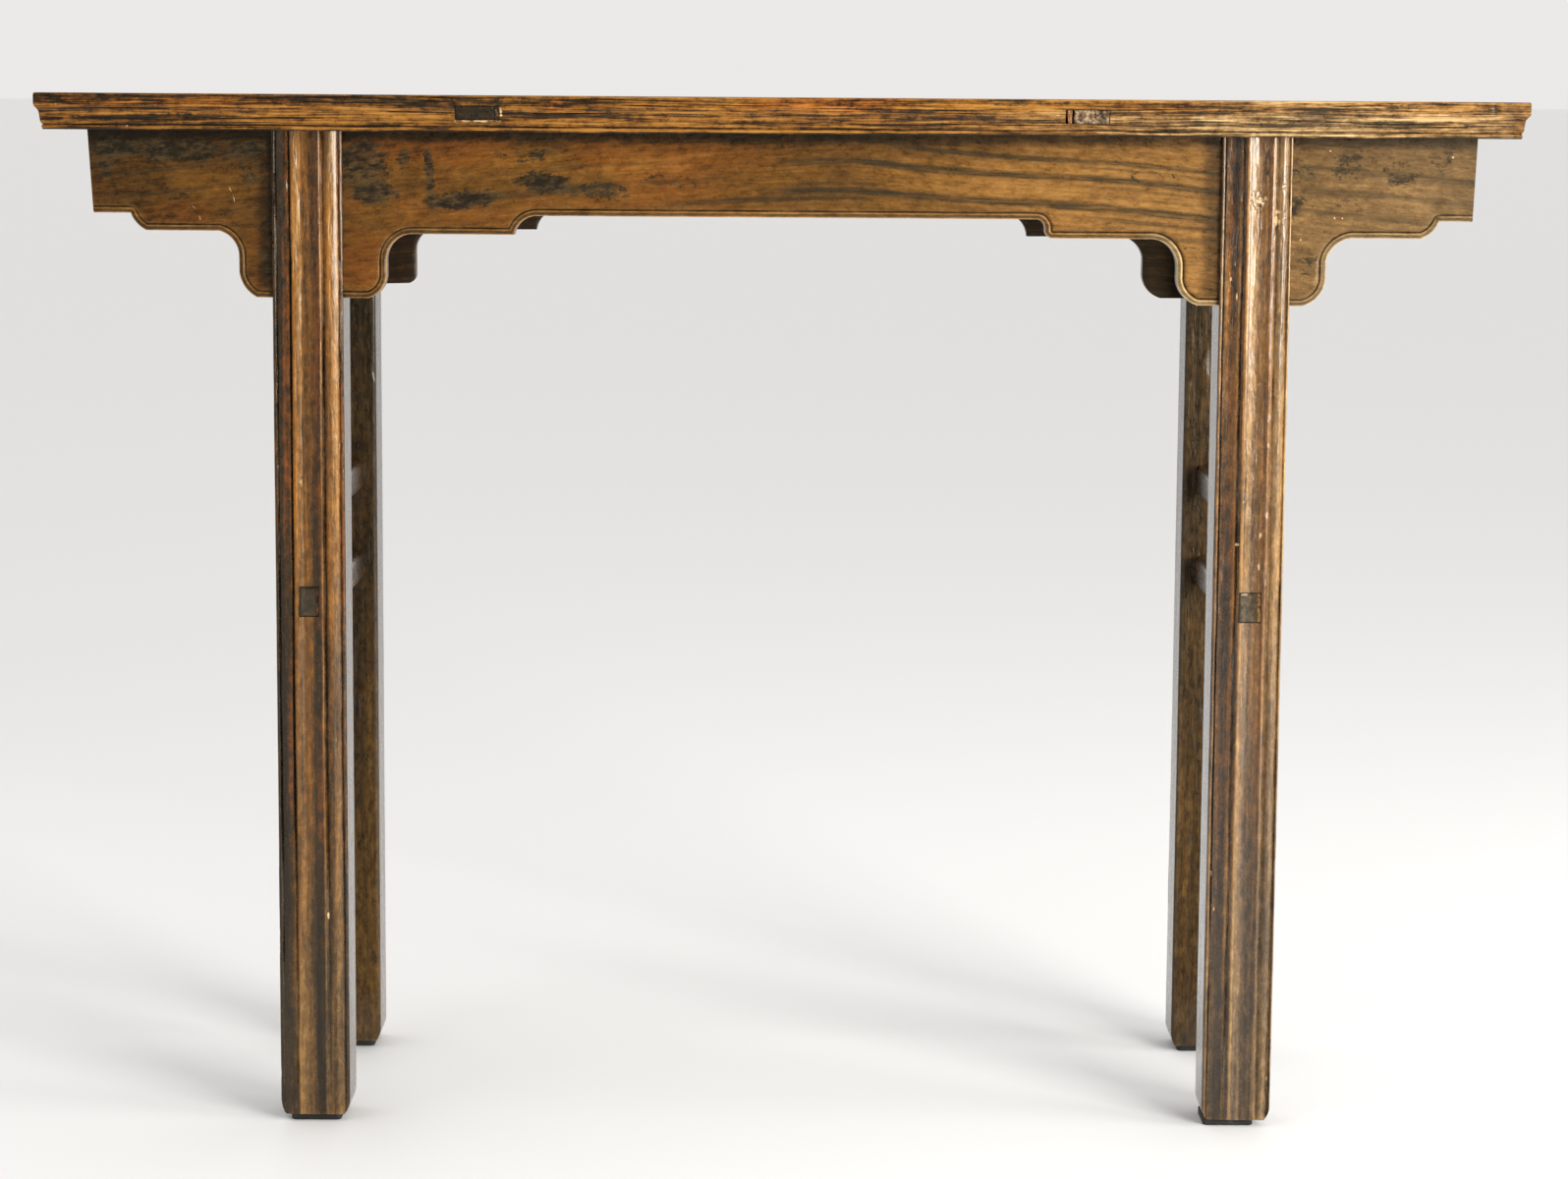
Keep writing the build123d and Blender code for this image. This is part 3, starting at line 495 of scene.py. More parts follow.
    # growth rings that show as dark bands
    if bands:
        gx, gy, gz = m.split(m.attribute("grain"))
        r = m.math("ADD", centred(field(5.0, 30.0, 3.0, 0.6), 0.008), gz)
        r = m.math("ADD", centred(field(70.0, 260.0, 4.0, 0.65), 0.0034), r)
        total = 0.0
        for at, half, depth, x0, x1, soft in bands:
            d = m.math("ABSOLUTE", m.math("SUBTRACT", r, at / 1000.0))
            one = m.range(d, 0.85 * half / 1000.0, half * 0.25 / 1000.0)
            ends = m.math("MULTIPLY", m.range(gx, (x0 - soft) / 1000.0, (x0 + soft) / 1000.0),
                          m.range(gx, (x1 + soft) / 1000.0, (x1 - soft) / 1000.0))
            total = m.math("MAXIMUM", total, m.math("MULTIPLY", m.math("MULTIPLY", one, ends), depth))
        lines = m.math("ADD", centred(fibre, 1.6), centred(field(22.0, 420.0, 4.0, 0.6), 2.2))
        lines = m.range(lines, -0.35, 0.25, 0.45, 1.0)
        colour = m.mix(m.math("MULTIPLY", m.math("MULTIPLY", total, lines), band_dark), colour, srgb(*olive))
    # dark lacquer left in patches, and painted stains; on the legs and the rear apron this dark channel also carries
    # painted shade
    edge = m.math("ADD", centred(blotch, 2.4), centred(speck, 2.0))
    edge = m.math("ADD", edge, centred(grit, 1.2))
    edge = m.math("ADD", edge, centred(streaks, -4.0 * linear))
    edge = m.math("MULTIPLY", edge, m.range(dark, 0.0, 0.3, flecks, 1.0))
    stain_and_shade = m.math("MULTIPLY_ADD", dark, 0.90, m.math("ADD", edge, patches * 0.28 - 0.50))
    stain_and_shade = m.range(stain_and_shade, 0.0, 0.36 / crisp)
    stain_and_shade = m.math("MULTIPLY", stain_and_shade, m.math("SUBTRACT", 1.0, m.math("MULTIPLY", ridge, 0.7)))
    inner = m.math("ADD", centred(speck, 1.2), m.math("ADD", centred(mott, 1.5), centred(blotch, -1.0)))
    stain_and_shade_colour = m.mix(m.range(inner, -0.22, 0.28), srgb(*[0.5 * c for c in olive]), srgb(*[1.5 * c for c in olive]))
    colour = m.mix(m.math("MULTIPLY", stain_and_shade, m.range(inner, -0.2, 0.35, 0.96, 0.62)), colour, stain_and_shade_colour)
    # open pores, black and short
    pore = m.math("MULTIPLY", m.range(pores, 0.58, 0.72), m.range(streaks, 0.68, 0.42))
    colour = m.mix(m.math("MULTIPLY", pore, pore_k * fine), colour, srgb(*black))
    # unlacquered wood, painted near black: partly its own dull colour and partly painted shade on the undersides and
    # inner faces
    colour = m.mix(m.math("MULTIPLY", bare, 0.92), colour,
                   m.ramp(m.math("ADD", 0.5, m.math("ADD", centred(streaks, 1.6), centred(mott, 1.2))),
                          [(0.2, srgb(13, 9, 6)), (0.55, srgb(29, 20, 12)), (0.9, srgb(60, 41, 24))]))
    # fresh chips show pale wood
    broken = m.range(m.math("ADD", centred(mott, 0.9), chip), 0.40, 0.66)
    colour = m.mix(broken, colour, m.mix(fibre, srgb(150, 110, 64), srgb(226, 200, 156)))
    m.put(colour, m.bsdf.inputs["Base Color"])

    r = m.math("ADD", centred(streaks, -0.25), rough)
    r = m.math("ADD", centred(mott, 0.55), r)
    r = m.math("ADD", centred(grit, 0.30), r)
    r = m.math("MULTIPLY_ADD", stain_and_shade, 0.08, r)
    r = m.math("MULTIPLY_ADD", ridge, -0.05, r)
    r = m.math("MULTIPLY_ADD", bare, 0.30, r)
    r = m.math("MULTIPLY_ADD", broken, 0.25, r)
    if dull:
        facing = m.new("ShaderNodeNewGeometry")
        r = m.math("MULTIPLY_ADD", m.range(m.split(facing.outputs["Normal"])[2], 0.80, 0.98), dull, r)
    m.put(m.range(r, 0.0, 1.0, 0.0, 1.0, "LINEAR"), m.bsdf.inputs["Roughness"])

    h = m.math("MULTIPLY_ADD", fibre, 0.10, m.math("MULTIPLY", furrow, 0.5))
    h = m.math("MULTIPLY_ADD", m.math("MULTIPLY", pore, -1.0), 0.35, h)
    h = m.math("MULTIPLY_ADD", grit, 0.16, h)
    h = m.math("MULTIPLY_ADD", pitted, 0.9, h)
    h = m.math("MULTIPLY_ADD", wavy, 1.3 * ripple, h)
    m.put(m.bump(h, 0.00045 * bump, 1.0), m.bsdf.inputs["Normal"])
    m.bsdf.inputs["Specular IOR Level"].default_value = spec
    m.bsdf.inputs["Specular Tint"].default_value = (*tint, 1)
    m.bsdf.inputs["IOR"].default_value = 1.5
    m.bsdf.inputs["Coat Weight"].default_value = coat
    m.bsdf.inputs["Coat IOR"].default_value = coat_ior
    m.bsdf.inputs["Coat Roughness"].default_value = 0.12
    return m.mat


# ------------------------------------------------------------------ top frame
def edge_run():
    """Moulded edge of the top from its upper arris down, as (inward, below)."""
    k = 8.3
    cyma = []
    for i in range(19):
        t = i / 18
        h00, h10 = 2 * t**3 - 3 * t**2 + 1, t**3 - 2 * t**2 + t
        h01, h11 = -2 * t**3 + 3 * t**2, t**3 - t**2
        cyma.append((3.7 * h01, 9 * h00 + k * h10 + 16.4 * h01 + k * h11))
    return chain(
        arc3((1, 0), (0.293, 0.293), (0, 1), 5), line((0, 1), (0, 9), 0.5), cyma,
        line((3.7, 16.4), (4.4, 21.5), 0.45), arc3((4.4, 21.5), (5.0, 24.2), (6.4, 25.8), 10),
        arc3((6.4, 25.8), (5.4, 27.9), (6.4, 30.0), 10))


EDGE = edge_run()


def edge_inward(below):
    """Inward offset of the moulding at a height below the top."""
    b = np.array([p[1] for p in EDGE])
    d = np.array([p[0] for p in EDGE])
    return np.interp(below, b, d)


def frame_loop(windows=()):
    """Closed section of a frame member as (inward, below), and the index of the
    first point on the underside. windows are heights that get a point of their
    own on both the moulding and the inner face."""
    edge = with_values(EDGE, 1, windows)
    top = line((RAIL_W, 0), (24, 0), 3.4)[:-1] + line((24, 0), (4, 0), 2.0)[:-1] + line((4, 0), (1, 0), 0.7)[:-1]
    under = line((6.4, 30), (RAIL_W - 0.8, 30), 4.5)[1:]
    inner = with_values(line((RAIL_W, 29.2), (RAIL_W, 8.5), 3.0), 1, windows)
    groove = [(RAIL_W - 8, 8.5), (RAIL_W - 8, 3.5), (RAIL_W, 3.5), (RAIL_W, 0.6)]
    loop = top + edge + under + inner + groove
    return np.array(loop), len(top), len(top) + len(edge), len(top) + len(edge) + len(under)


def cavity(d, width):
    """How far each point of a run lies below the run smoothed over width
    points: positive in a groove, negative on a ridge."""
    pad = np.concatenate([np.full(width, d[0]), d, np.full(width, d[-1])])
    k = np.hanning(2 * width + 1)
    k /= k.sum()
    return d - np.convolve(pad, k, "valid")


def frame_member(name, axis, sign, half, seed, material, windows=(), holes=(), step=2.6,
                 cracks=(), nicks=(), paint=None, nodes=(), lows=()):
    """A mitred member of the top's frame. axis is the one it runs along, sign
    the side it is on, half its half length. holes are (a0, a1, below0, below1)
    right through it. cracks are (a, below, length, depth); nicks are
    (a, below, along, high, depth, pale)."""
    loop, i_edge, i_under, i_inner = frame_loop([w for h in holes for w in h[2:4]])
    n = len(loop)
    inward, below = loop[:, 0], loop[:, 1]
    extra = [e for h in holes for e in (h[0] - 0.5, h[0], h[1], h[1] + 0.5)] + list(lows)
    a_axis = rows(-half, half, step, extra, near=0.35)
    a_axis = np.unique(np.concatenate([a_axis, [-half + 0.5, -half + 1.2, half - 1.2, half - 0.5]]))
    s = len(a_axis)
    A = np.broadcast_to(a_axis[:, None], (s, n)).copy()
    D = np.broadcast_to(inward[None, :], (s, n)).copy()
    B = np.broadcast_to(below[None, :], (s, n)).copy()

    on_edge = np.zeros(n)
    on_edge[i_edge:i_under] = 1
    on_top = ((below < 0.01) & (inward > 0.9)).astype(float)
    near_arris = np.exp(-((inward - 0.3) ** 2 + (below - 0.3) ** 2) / 1.6)
    # hand-planed waves, always inwards
    wave = 0.16 + 0.16 * fbm(A * 0.011, B * 0.07, 3.0 * sign, seed, 2)
    fine = 0.06 + 0.06 * fbm(A * 0.03, B * 0.5, 1.0, seed + 3, 3)
    D += on_edge * (wave + fine)
    B += on_top * (0.10 + 0.09 * fbm(A * 0.012, D * 0.03, 2.0, seed + 5, 2) + 0.05 * fbm(A * 0.02, D * 0.35, 4.0, seed + 6, 2))
    # the upper arris is worn round, more in places
    worn = 0.25 + 0.45 * smooth(-0.2, 0.9, fbm(A * 0.02, 0.0, 7.0, seed + 9, 3))
    D += near_arris * worn * 0.6
    B += near_arris * worn * 0.6
    # raised fibres and splits that run along the edge
    rift = vnoise(A * 0.035, B * 1.1 + 0.25 * fbm(A * 0.02, 0, 0, seed + 40, 2), 5.0, seed + 21)
    split = smooth(0.50, 0.80, rift)
    D += on_edge * split * 0.42
    cav = np.zeros((s, n))
    cav += np.clip(cavity(inward * on_edge, 7) * 2.2, -1, 1)[None, :] * on_edge
    cav -= near_arris * 0.9
    cav += on_edge * split * 0.55
    dark = np.zeros((s, n))
    chip = np.zeros((s, n))
    for a, bl, length, depth in cracks:
        line_b = bl + 0.9 * fbm(A * 0.02, 0, 0, int(seed + abs(a)), 2)
        m = np.exp(-((B - line_b) / 0.42) ** 2) * smooth(length / 2, length / 2 - 9, np.abs(A - a)) * on_edge
        D += m * depth
        cav += m * 1.3
    for a, bl, ra, rb, depth, fresh in nicks:
        w = ((A - a) / ra) ** 2 + ((B - bl) / rb) ** 2
        m = np.exp(-w * 1.2) * (0.7 + 0.5 * vnoise(A * 0.9, B * 0.9, 0, seed + 60))
        D += on_edge * np.clip(m, 0, 1) * depth
        B += on_top * np.clip(np.exp(-(((A - a) / ra) ** 2 + ((D - 1) / ra) ** 2)), 0, 1) * depth * (bl < 2)
        cav += m * 0.5 * on_edge
        chip += m * fresh
    # the mitred ends come to a point, a little worn
    reach = half - D
    reach -= 0.25 + 0.2 * vnoise(B * 0.15, D * 0.1, half, seed + 70)
    run = A / half * reach
    # holes keep their sides square, so those stations aren't stretched
    keep = np.zeros(s)
    for a0, a1, _, _ in holes:
        keep = np.maximum(keep, smooth(30, 8, np.maximum(np.maximum(a0 - a_axis, a_axis - a1), 0)))
    for e in lows:
        keep = np.maximum(keep, smooth(12, 3, np.abs(a_axis - e)))
    run = run * (1 - keep[:, None]) + A * keep[:, None]

    out = sign * ((HL if axis == 1 else HD) - D)
    z = TOP - np.maximum(B, 0.0)
    p = np.stack([run, out, z] if axis == 0 else [out, run, z], axis=-1)
    grain = np.stack([run, z + 0.3 * D, D + 0.15 * z], axis=-1)
    # underside, inner face and groove: unlacquered wood, with painted shade
    bare = np.zeros(n)
    bare[i_under:] = 1.0
    bare[:i_under] = 0.0
    light = np.zeros((s, n))
    warm = np.zeros((s, n))
    if paint:
        dk, wm, lt, ch = paint(run, B, D, on_edge, on_top)
        dark, warm, light, chip = dark + dk, warm + wm, light + lt, chip + ch
    b = Build()
    ids = b.add(p, cav=np.clip(cav, -1, 1.4), dark=dark, chip=chip, warm=warm, light=light,
                bare=np.broadcast_to(bare, (s, n)), grain=grain)

    holed = {}
    for a0, a1, b0, b1 in holes:
        j0, j1 = int(np.argmin(abs(a_axis - a0))), int(np.argmin(abs(a_axis - a1)))
        e0 = i_edge + int(np.argmin(abs(below[i_edge:i_under] - b0)))
        e1 = i_edge + int(np.argmin(abs(below[i_edge:i_under] - b1)))
        f1 = i_inner + int(np.argmin(abs(below[i_inner:n - 4] - b1)))
        f0 = n - 4 if abs(b0 - 8.5) < 0.01 else i_inner + int(np.argmin(abs(below[i_inner:n - 4] - b0)))
        f0 = int(np.argmin(np.where(np.arange(n) >= i_inner, abs(below - b0) + 100 * (abs(inward - RAIL_W) > 0.01), 1e9)))
        for j in range(j0, j1):
            for i in list(range(e0, e1)) + list(range(f1, f0)):
                holed[(j, i)] = True
        for i0, i1 in ((e0, f0), (e1, f1)):          # ceiling and floor of the mortise
            for j in range(j0, j1):
                b.poly([ids[j, i0], ids[j, i1], ids[j + 1, i1], ids[j + 1, i0]])
        for j in (j0, j1):                           # its two sides
            b.poly([ids[j, i] for i in range(e0, e1 + 1)] + [ids[j, i] for i in range(f1, f0 + 1)])
    w = np.concatenate([[0], np.cumsum(np.hypot(*(np.roll(loop, -1, 0) - loop).T))])
    # the moulding gets more of the map than its share, the hidden faces less
    weight = np.ones(n)
    weight[i_edge:i_under] = 3.0
    weight[i_under:] = 0.35
    w = np.concatenate([[0], np.cumsum(np.hypot(*(np.roll(loop, -1, 0) - loop).T) * weight)])
    b.quads(ids, wrap=True, skip=lambda j, i: (j, i) in holed, box=(0.0, 0.0, 0.955, 1.0),
            u=w / w[-1], v=(a_axis + half) / (2 * half))
    b.poly(ids[0], (0.96, 0.0, 1.0, 0.04))
    b.poly(ids[-1], (0.96, 0.05, 1.0, 0.09))
    return b


def blobs(x, y, spots):
    """Sum of soft ellipses: (x, y, rx, ry, turn in degrees, strength)."""
    out = np.zeros(np.broadcast(x, y).shape)
    for cx, cy, rx, ry, turn, k in spots:
        t = math.radians(turn)
        dx, dy = x - cx, y - cy
        u = (dx * math.cos(t) + dy * math.sin(t)) / rx
        v = (-dx * math.sin(t) + dy * math.cos(t)) / ry
        out = out + k * smooth(1.5, 0.35, np.sqrt(u * u + v * v))
    return out


# ------------------------------------------------------------------ legs
MOULD_LEFT = (-26.6, -25.2, -15.4, -13.8, -8.2, 6.8, 11.6, 13.6, 24.6, 26.4)
MOULD_RIGHT = (-26.0, -24.8, -12.4, -8.8, -4.0, 10.4, 16.2, 18.2, 26.2, 27.2)


def leg_face(right):
    """Moulded face of a leg from -X to +X, as (across, back)."""
    m0, m1, m2, m3, m4, m5, m6, m7, m8, m9 = MOULD_RIGHT if right else MOULD_LEFT
    h = LEG_W / 2
    if right:
        middle = [arc3((m3, 1.4), ((m3 + m4) / 2 + 0.3, 0.0), (m4, 0.9), 9),
                  arc3((m4, 0.9), ((m4 + m5) / 2, 1.7), (m5, 0.9), 24),
                  arc3((m5, 0.9), ((m5 + m6) / 2 - 0.3, 0.0), (m6, 1.4), 9)]
        outer = [arc3((m7, 1.8), ((m7 + m8) / 2 - 1.5, 0.7), (m8, 3.2), 16)]
    else:
        # the same mouldings, worn broader towards the right
        middle = [arc3((m3, 1.4), (m3 + 1.3, 0.28), (m3 + 2.8, 0.12), 6),
                  arc3((m3 + 2.8, 0.12), (m4, 0.82), (m4 + 2.8, 1.65), 9),
                  arc3((m4 + 2.8, 1.65), (0.2, 1.95), (m5 - 1.8, 1.8), 13),
                  arc3((m5 - 1.8, 1.8), (m5 - 0.1, 1.3), (m5 + 1.7, 0.65), 6),
                  arc3((m5 + 1.7, 0.65), ((m5 + m6) / 2 + 0.9, 0.1), (m6, 1.4), 7)]
        outer = [arc3((m7, 1.8), (m7 + 2.2, 0.85), (m7 + 5.0, 0.95), 8),
                 arc3((m7 + 5.0, 0.95), (m8 - 2.8, 1.97), (m8, 3.2), 10)]
    bulge = 2.3 if right else 2.95
    return chain(
        arc3((-h, 4.0), ((m0 - h) / 2 + 0.2, bulge), (m0, 3.0), 7),
        line((m0, 3.0), ((m0 + m1) / 2, 3.9), 0.4), line(((m0 + m1) / 2, 3.9), (m1, 3.2), 0.4),
        arc3((m1, 3.2), ((m1 + m2) / 2, 2.45 if right else 1.35), (m2, 1.0), 16),
        line((m2, 1.0), ((m2 + m3) / 2, 2.6), 0.4), line(((m2 + m3) / 2, 2.6), (m3, 1.4), 0.4),
        *middle,
        line((m6, 1.4), ((m6 + m7) / 2, 2.6), 0.4), line(((m6 + m7) / 2, 2.6), (m7, 1.8), 0.4),
        *outer,
        line((m8, 3.2), ((m8 + m9) / 2, 3.9), 0.4), line(((m8 + m9) / 2, 3.9), (m9, 3.0), 0.4),
        arc3((m9, 3.0), ((m9 + h) / 2 - 0.2, bulge), (h, 4.0), 7))


def make_leg(name, sx, sy, slot_z, seed, material, dents=(), paint=None, crackle=()):
    right = sx > 0
    a, c = (-8.0, 11.0) if right else (-9.5, 7.0)
    face = with_values(leg_face(right), 0, [a, c])
    h = LEG_W / 2
    side_t = [4.6, 5.4, 6.6, 8.0, 10.0, 12, 15, 18, 21, 24, 27, 30, 33, 36, 39, 42, 45, 48, 50, 51.2]
    down = [(h, t) for t in side_t] + [(h, 52.0), (h - 0.7, 53.3)]
    back = with_values(line((h - 2, 54), (-h + 2, 54), 2.4), 0, [a, c])
    up = [(-h + 0.7, 53.3), (-h, 52.0)] + [(-h, t) for t in reversed(side_t)]
    loop = np.array(face + down + back + up)
    n, nf = len(loop), len(face)
    i_down, i_back, i_up = nf, nf + len(down), nf + len(down) + len(back)

    zs = rows(PAD_H, UNDER, 3.0, [6.4, 7.2, 8.4, 10.0, 12.0, 14.5, 17.5, 21.0, 434.6, 435.0, 461.0, 461.4,
                                  slot_z - 0.4, slot_z, 838.8]
              + [v for c0 in crackle for v in np.arange(c0[1] - 1.5 * c0[3], c0[1] + 1.5 * c0[3], 0.9)], near=0.45)
    s = len(zs)
    S = np.broadcast_to(loop[:, 0], (s, n)).copy()
    T = np.broadcast_to(loop[:, 1], (s, n)).copy()
    Z = np.broadcast_to(zs[:, None], (s, n)).copy()
    front = np.zeros(n)
    front[:nf] = 1.0
    inner_arris = np.maximum(np.exp(-((np.abs(loop[:, 0]) - h) ** 2 + (loop[:, 1] - 3.4) ** 2) / 2.2),
                             np.exp(-((np.abs(loop[:, 0]) - h + 0.8) ** 2 + (loop[:, 1] - 53.2) ** 2) / 3.0))
    # the planes wander a little as a hand moulding does
    sway = 0.5 * fbm(Z * 0.006, 0, 0, seed + 1, 2) + 0.18 * fbm(Z * 0.03, S * 0.08, 0, seed + 2, 2)
    S = S + front * sway * smooth(h, h - 5, np.abs(S))
    p0 = np.stack([S, -T, Z], axis=-1)
    nrm = grid_normals(p0)
    x, y = S + sx * LEG_X, T
    deep = 0.12 + 0.14 * fbm(x * 0.05, y * 0.05, Z * 0.008, seed + 3, 2)
    deep += 0.10 * smooth(0.1, 0.8, fbm(x * 0.4, y * 0.4, Z * 0.02, seed + 4, 3)) * front
    deep += (0.16 + 0.16 * fbm(x * 0.22, y * 0.22, Z * 0.045, seed + 6, 3)) * (0.45 + 0.55 * front)
    # long shallow wear hollows on the face
    deep += front * 0.30 * smooth(0.25, 0.8, fbm(x * 0.12, 0, Z * 0.011, seed + 5, 2))
    # arrises: knocked here and there
    knock = smooth(0.38, 0.85, fbm(x * 0.05, y * 0.05, Z * 0.045, seed + 7, 3))
    deep += inner_arris * ((0.25 if right or sy > 0 else 0.08) + 1.15 * knock)
    prof = np.zeros(n)
    prof[:nf] = np.clip(cavity(np.array([p[1] for p in face]), 7) * 2.4, -1, 1)
    across = np.array([p[0] for p in face])
    if right:
        prof[:nf] *= np.where((prof[:nf] > 0) & (across > 14), 0.35, 1.0)
    else:
        prof[:nf] *= np.where(prof[:nf] > 0, np.interp(across, [-24, -20, 8, 10, 16, 20], [0.6, 1.0, 1.0, 0.65, 0.65, 0.2]), 1.0)
    cav = np.broadcast_to(prof, (s, n)) - 0.20 * inner_arris * (0.75 + 0.4 * vnoise(Z * 0.05, x * 0.1, 0, seed + 8))
    worn = front * smooth(330, 60, Z)
    cav = np.where(cav > 0, cav * (1 - (0.5 if right else 0.75) * worn), cav)
    # the quirks are worn shallow and filled with wax near the foot
    deep -= np.clip(prof, 0, 1) * (0.4 if right else 1.0) * worn
    # ridges are chipped, quirks vary in depth
    tops = np.clip(-prof * 1.6, 0, 1)
    nick = smooth(0.55, 0.9, fbm(x * 0.25, 0.0, Z * 0.10, seed + 11, 3))
    deep += tops * nick * 0.9
    deep += np.clip(prof, 0, 1) * (0.25 + 0.5 * vnoise(Z * 0.02, x * 0.05, 0, seed + 12))
    # fine splits along the grain
    rift = vnoise(x * 1.0 + 0.3 * fbm(Z * 0.01, 0, 0, seed + 14, 2), y * 0.3, Z * 0.022, seed + 13)
    split = smooth(0.62, 0.9, rift) * (1 - inner_arris)
    deep += split * 0.30
    cav = cav + split * 0.6
    chip = tops * nick * 0.15 + inner_arris * smooth(0.75, 1.0, knock) * 0.4
    dark = np.zeros((s, n))
    for where, cs, cz, rs, rz, depth, fresh, black in dents:
        on = front if where == "f" else 1 - front
        w = ((S - cs) / rs) ** 2 + ((Z - cz) / rz) ** 2
        if where == "b":
            on = np.zeros(n)
            on[i_back - 2:i_up + 2] = 1
        m = np.exp(-w) * on
        rag = 0.75 + 0.45 * vnoise(S * 0.8, 0, Z * 0.5, seed + 15)
        deep += m * depth * rag
        cav = cav + m * 0.25 * np.sign(depth)
        chip = chip + m * fresh * rag
        dark = dark + m * black
    # filler that has crackled and scaled
    for cs, cz, rs, rz, amount in crackle:
        m = front * np.exp(-(((S - cs) / rs) ** 2 + ((Z - cz) / rz) ** 2) ** 2)
        lumps = fbm(S * 0.42, 0.0, Z * 0.38, seed + 19, 3)
        deep += m * amount * (0.25 + 1.1 * lumps)
        chip = chip + m * (0.30 + 0.9 * np.clip(-lumps, 0, 1))
        cav = cav + m * 1.0 * np.clip(lumps, 0, 1)
    # foot: corners cut away and worn round
    over = Z - PAD_H
    p = p0 - nrm * deep[..., None]
    cut = np.interp(over, [0, 2.0, 5.5, 8.5, 11.5, 16], [5.2, 3.4, 1.6, 0.7, 0.2, 0.0])
    cut = cut * (0.9 + 0.2 * vnoise(S * 0.05, T * 0.05, 0, seed + 17))
    lim = h - 0.1 - cut
    p[..., 0] = np.clip(p[..., 0], -lim, lim)
    ease = np.interp(over, [0, 0.4, 1.2, 2.4, 4.0], [1.7, 1.1, 0.5, 0.15, 0.0])
    p[..., 1] = np.clip(p[..., 1], -(LEG_D - 0.05 - ease), -(ease + 0.02))
    cav = cav - np.interp(over, [0, 3, 9, 30], [0.8, 0.5, 0.25, 0.0])
    bare = np.zeros((s, n))
    warm, light = np.zeros((s, n)), np.zeros((s, n))
    if paint:
        dk, wm, lt = paint(S, T, Z, front)
        dark, warm, light = dark + dk, warm + wm, light + lt
    world = np.stack([p[..., 0] + sx * LEG_X, sy * (LEG_Y + LEG_D / 2 + p[..., 1]), p[..., 2]], axis=-1)
    grain = np.stack([Z, world[..., 0] + 0.35 * T, world[..., 1] * 1.0], axis=-1)
    b = Build()
    ids = b.add(world, cav=np.clip(cav, -1, 1.4), dark=dark, chip=chip, warm=warm, light=light, bare=bare,
                grain=grain)

    jz0, jz1, js = (int(np.argmin(abs(zs - v))) for v in (435.0, 461.0, slot_z))
    fa = int(np.argmin(abs(loop[:nf, 0] - a)))
    fc = int(np.argmin(abs(loop[:nf, 0] - c)))
    bc = i_back + int(np.argmin(abs(loop[i_back:i_up, 0] - c)))
    ba = i_back + int(np.argmin(abs(loop[i_back:i_up, 0] - a)))
    r0 = i_down + side_t.index(10.0)
    r1 = i_down + side_t.index(24)
    rev = list(reversed(side_t))
    l1 = i_up + 2 + rev.index(24)
    l0 = i_up + 2 + rev.index(10.0)

    def skip(j, i):
        if jz0 <= j < jz1 and (fa <= i < fc or bc <= i < ba):
            return True
        return j >= js and (r0 <= i < r1 or l1 <= i < l0)

    seg = np.hypot(*(np.roll(loop, -1, 0) - loop).T)
    weight = np.ones(n)
    weight[:nf] = 1.6
    w = np.concatenate([[0], np.cumsum(seg * weight)])
    b.quads(ids, wrap=True, skip=skip, box=(0, 0, 0.955, 1), u=w / w[-1], v=(zs - PAD_H) / (UNDER - PAD_H))
    # mortise: its two cheeks, floor and ceiling
    for i, k in ((fa, ba), (fc, bc)):
        for j in range(jz0, jz1):
            b.poly([ids[j, i], ids[j, k], ids[j + 1, k], ids[j + 1, i]])
    for j in (jz0, jz1):
        b.poly([ids[j, i] for i in range(fa, fc + 1)] + [ids[j, i] for i in range(bc, ba + 1)])
    # slot in the head: the two prongs' inner faces, and its floor
    for i, k in ((r0, l0), (r1, l1)):
        for j in range(js, s - 1):
            b.poly([ids[j, i], ids[j, k], ids[j + 1, k], ids[j + 1, i]])
    b.poly([ids[js, i] for i in range(r0, r1 + 1)] + [ids[js, i] for i in range(l1, l0 + 1)])
    b.poly([ids[-1, i] for i in list(range(l0, n)) + list(range(0, r0 + 1))], (0.96, 0.0, 1.0, 0.04))
    b.poly([ids[-1, i] for i in range(r1, l1 + 1)], (0.96, 0.05, 1.0, 0.09))
    # sole
    ring = world[0].copy()
    centre = ring.mean(axis=0)
    last = ids[0]
    for k in (0.8, 0.5, 0.2):
        r = centre + (ring - centre) * k
        r[:, 2] = PAD_H
        nxt = b.add(r, cav=0.0, bare=0.7, grain=np.stack([r[:, 2], r[:, 0], r[:, 1]], -1))
        b.quads(np.stack([last, nxt]), wrap=True, box=(0.96, 0.1, 1.0, 0.14))
        last = nxt
    b.poly(last, (0.96, 0.15, 1.0, 0.19))
    # tenon into the underside of the top
    box_grid(b, [sx * LEG_X - 17.4, sx * LEG_X + 17.4], sorted([sy * 106.1, sy * 119.9]), [836.0, 855.6],
             values=lambda q: dict(bare=1.0), box=(0.96, 0.2, 1.0, 0.24))
    return b.object(name, material, [name], sharp=50)


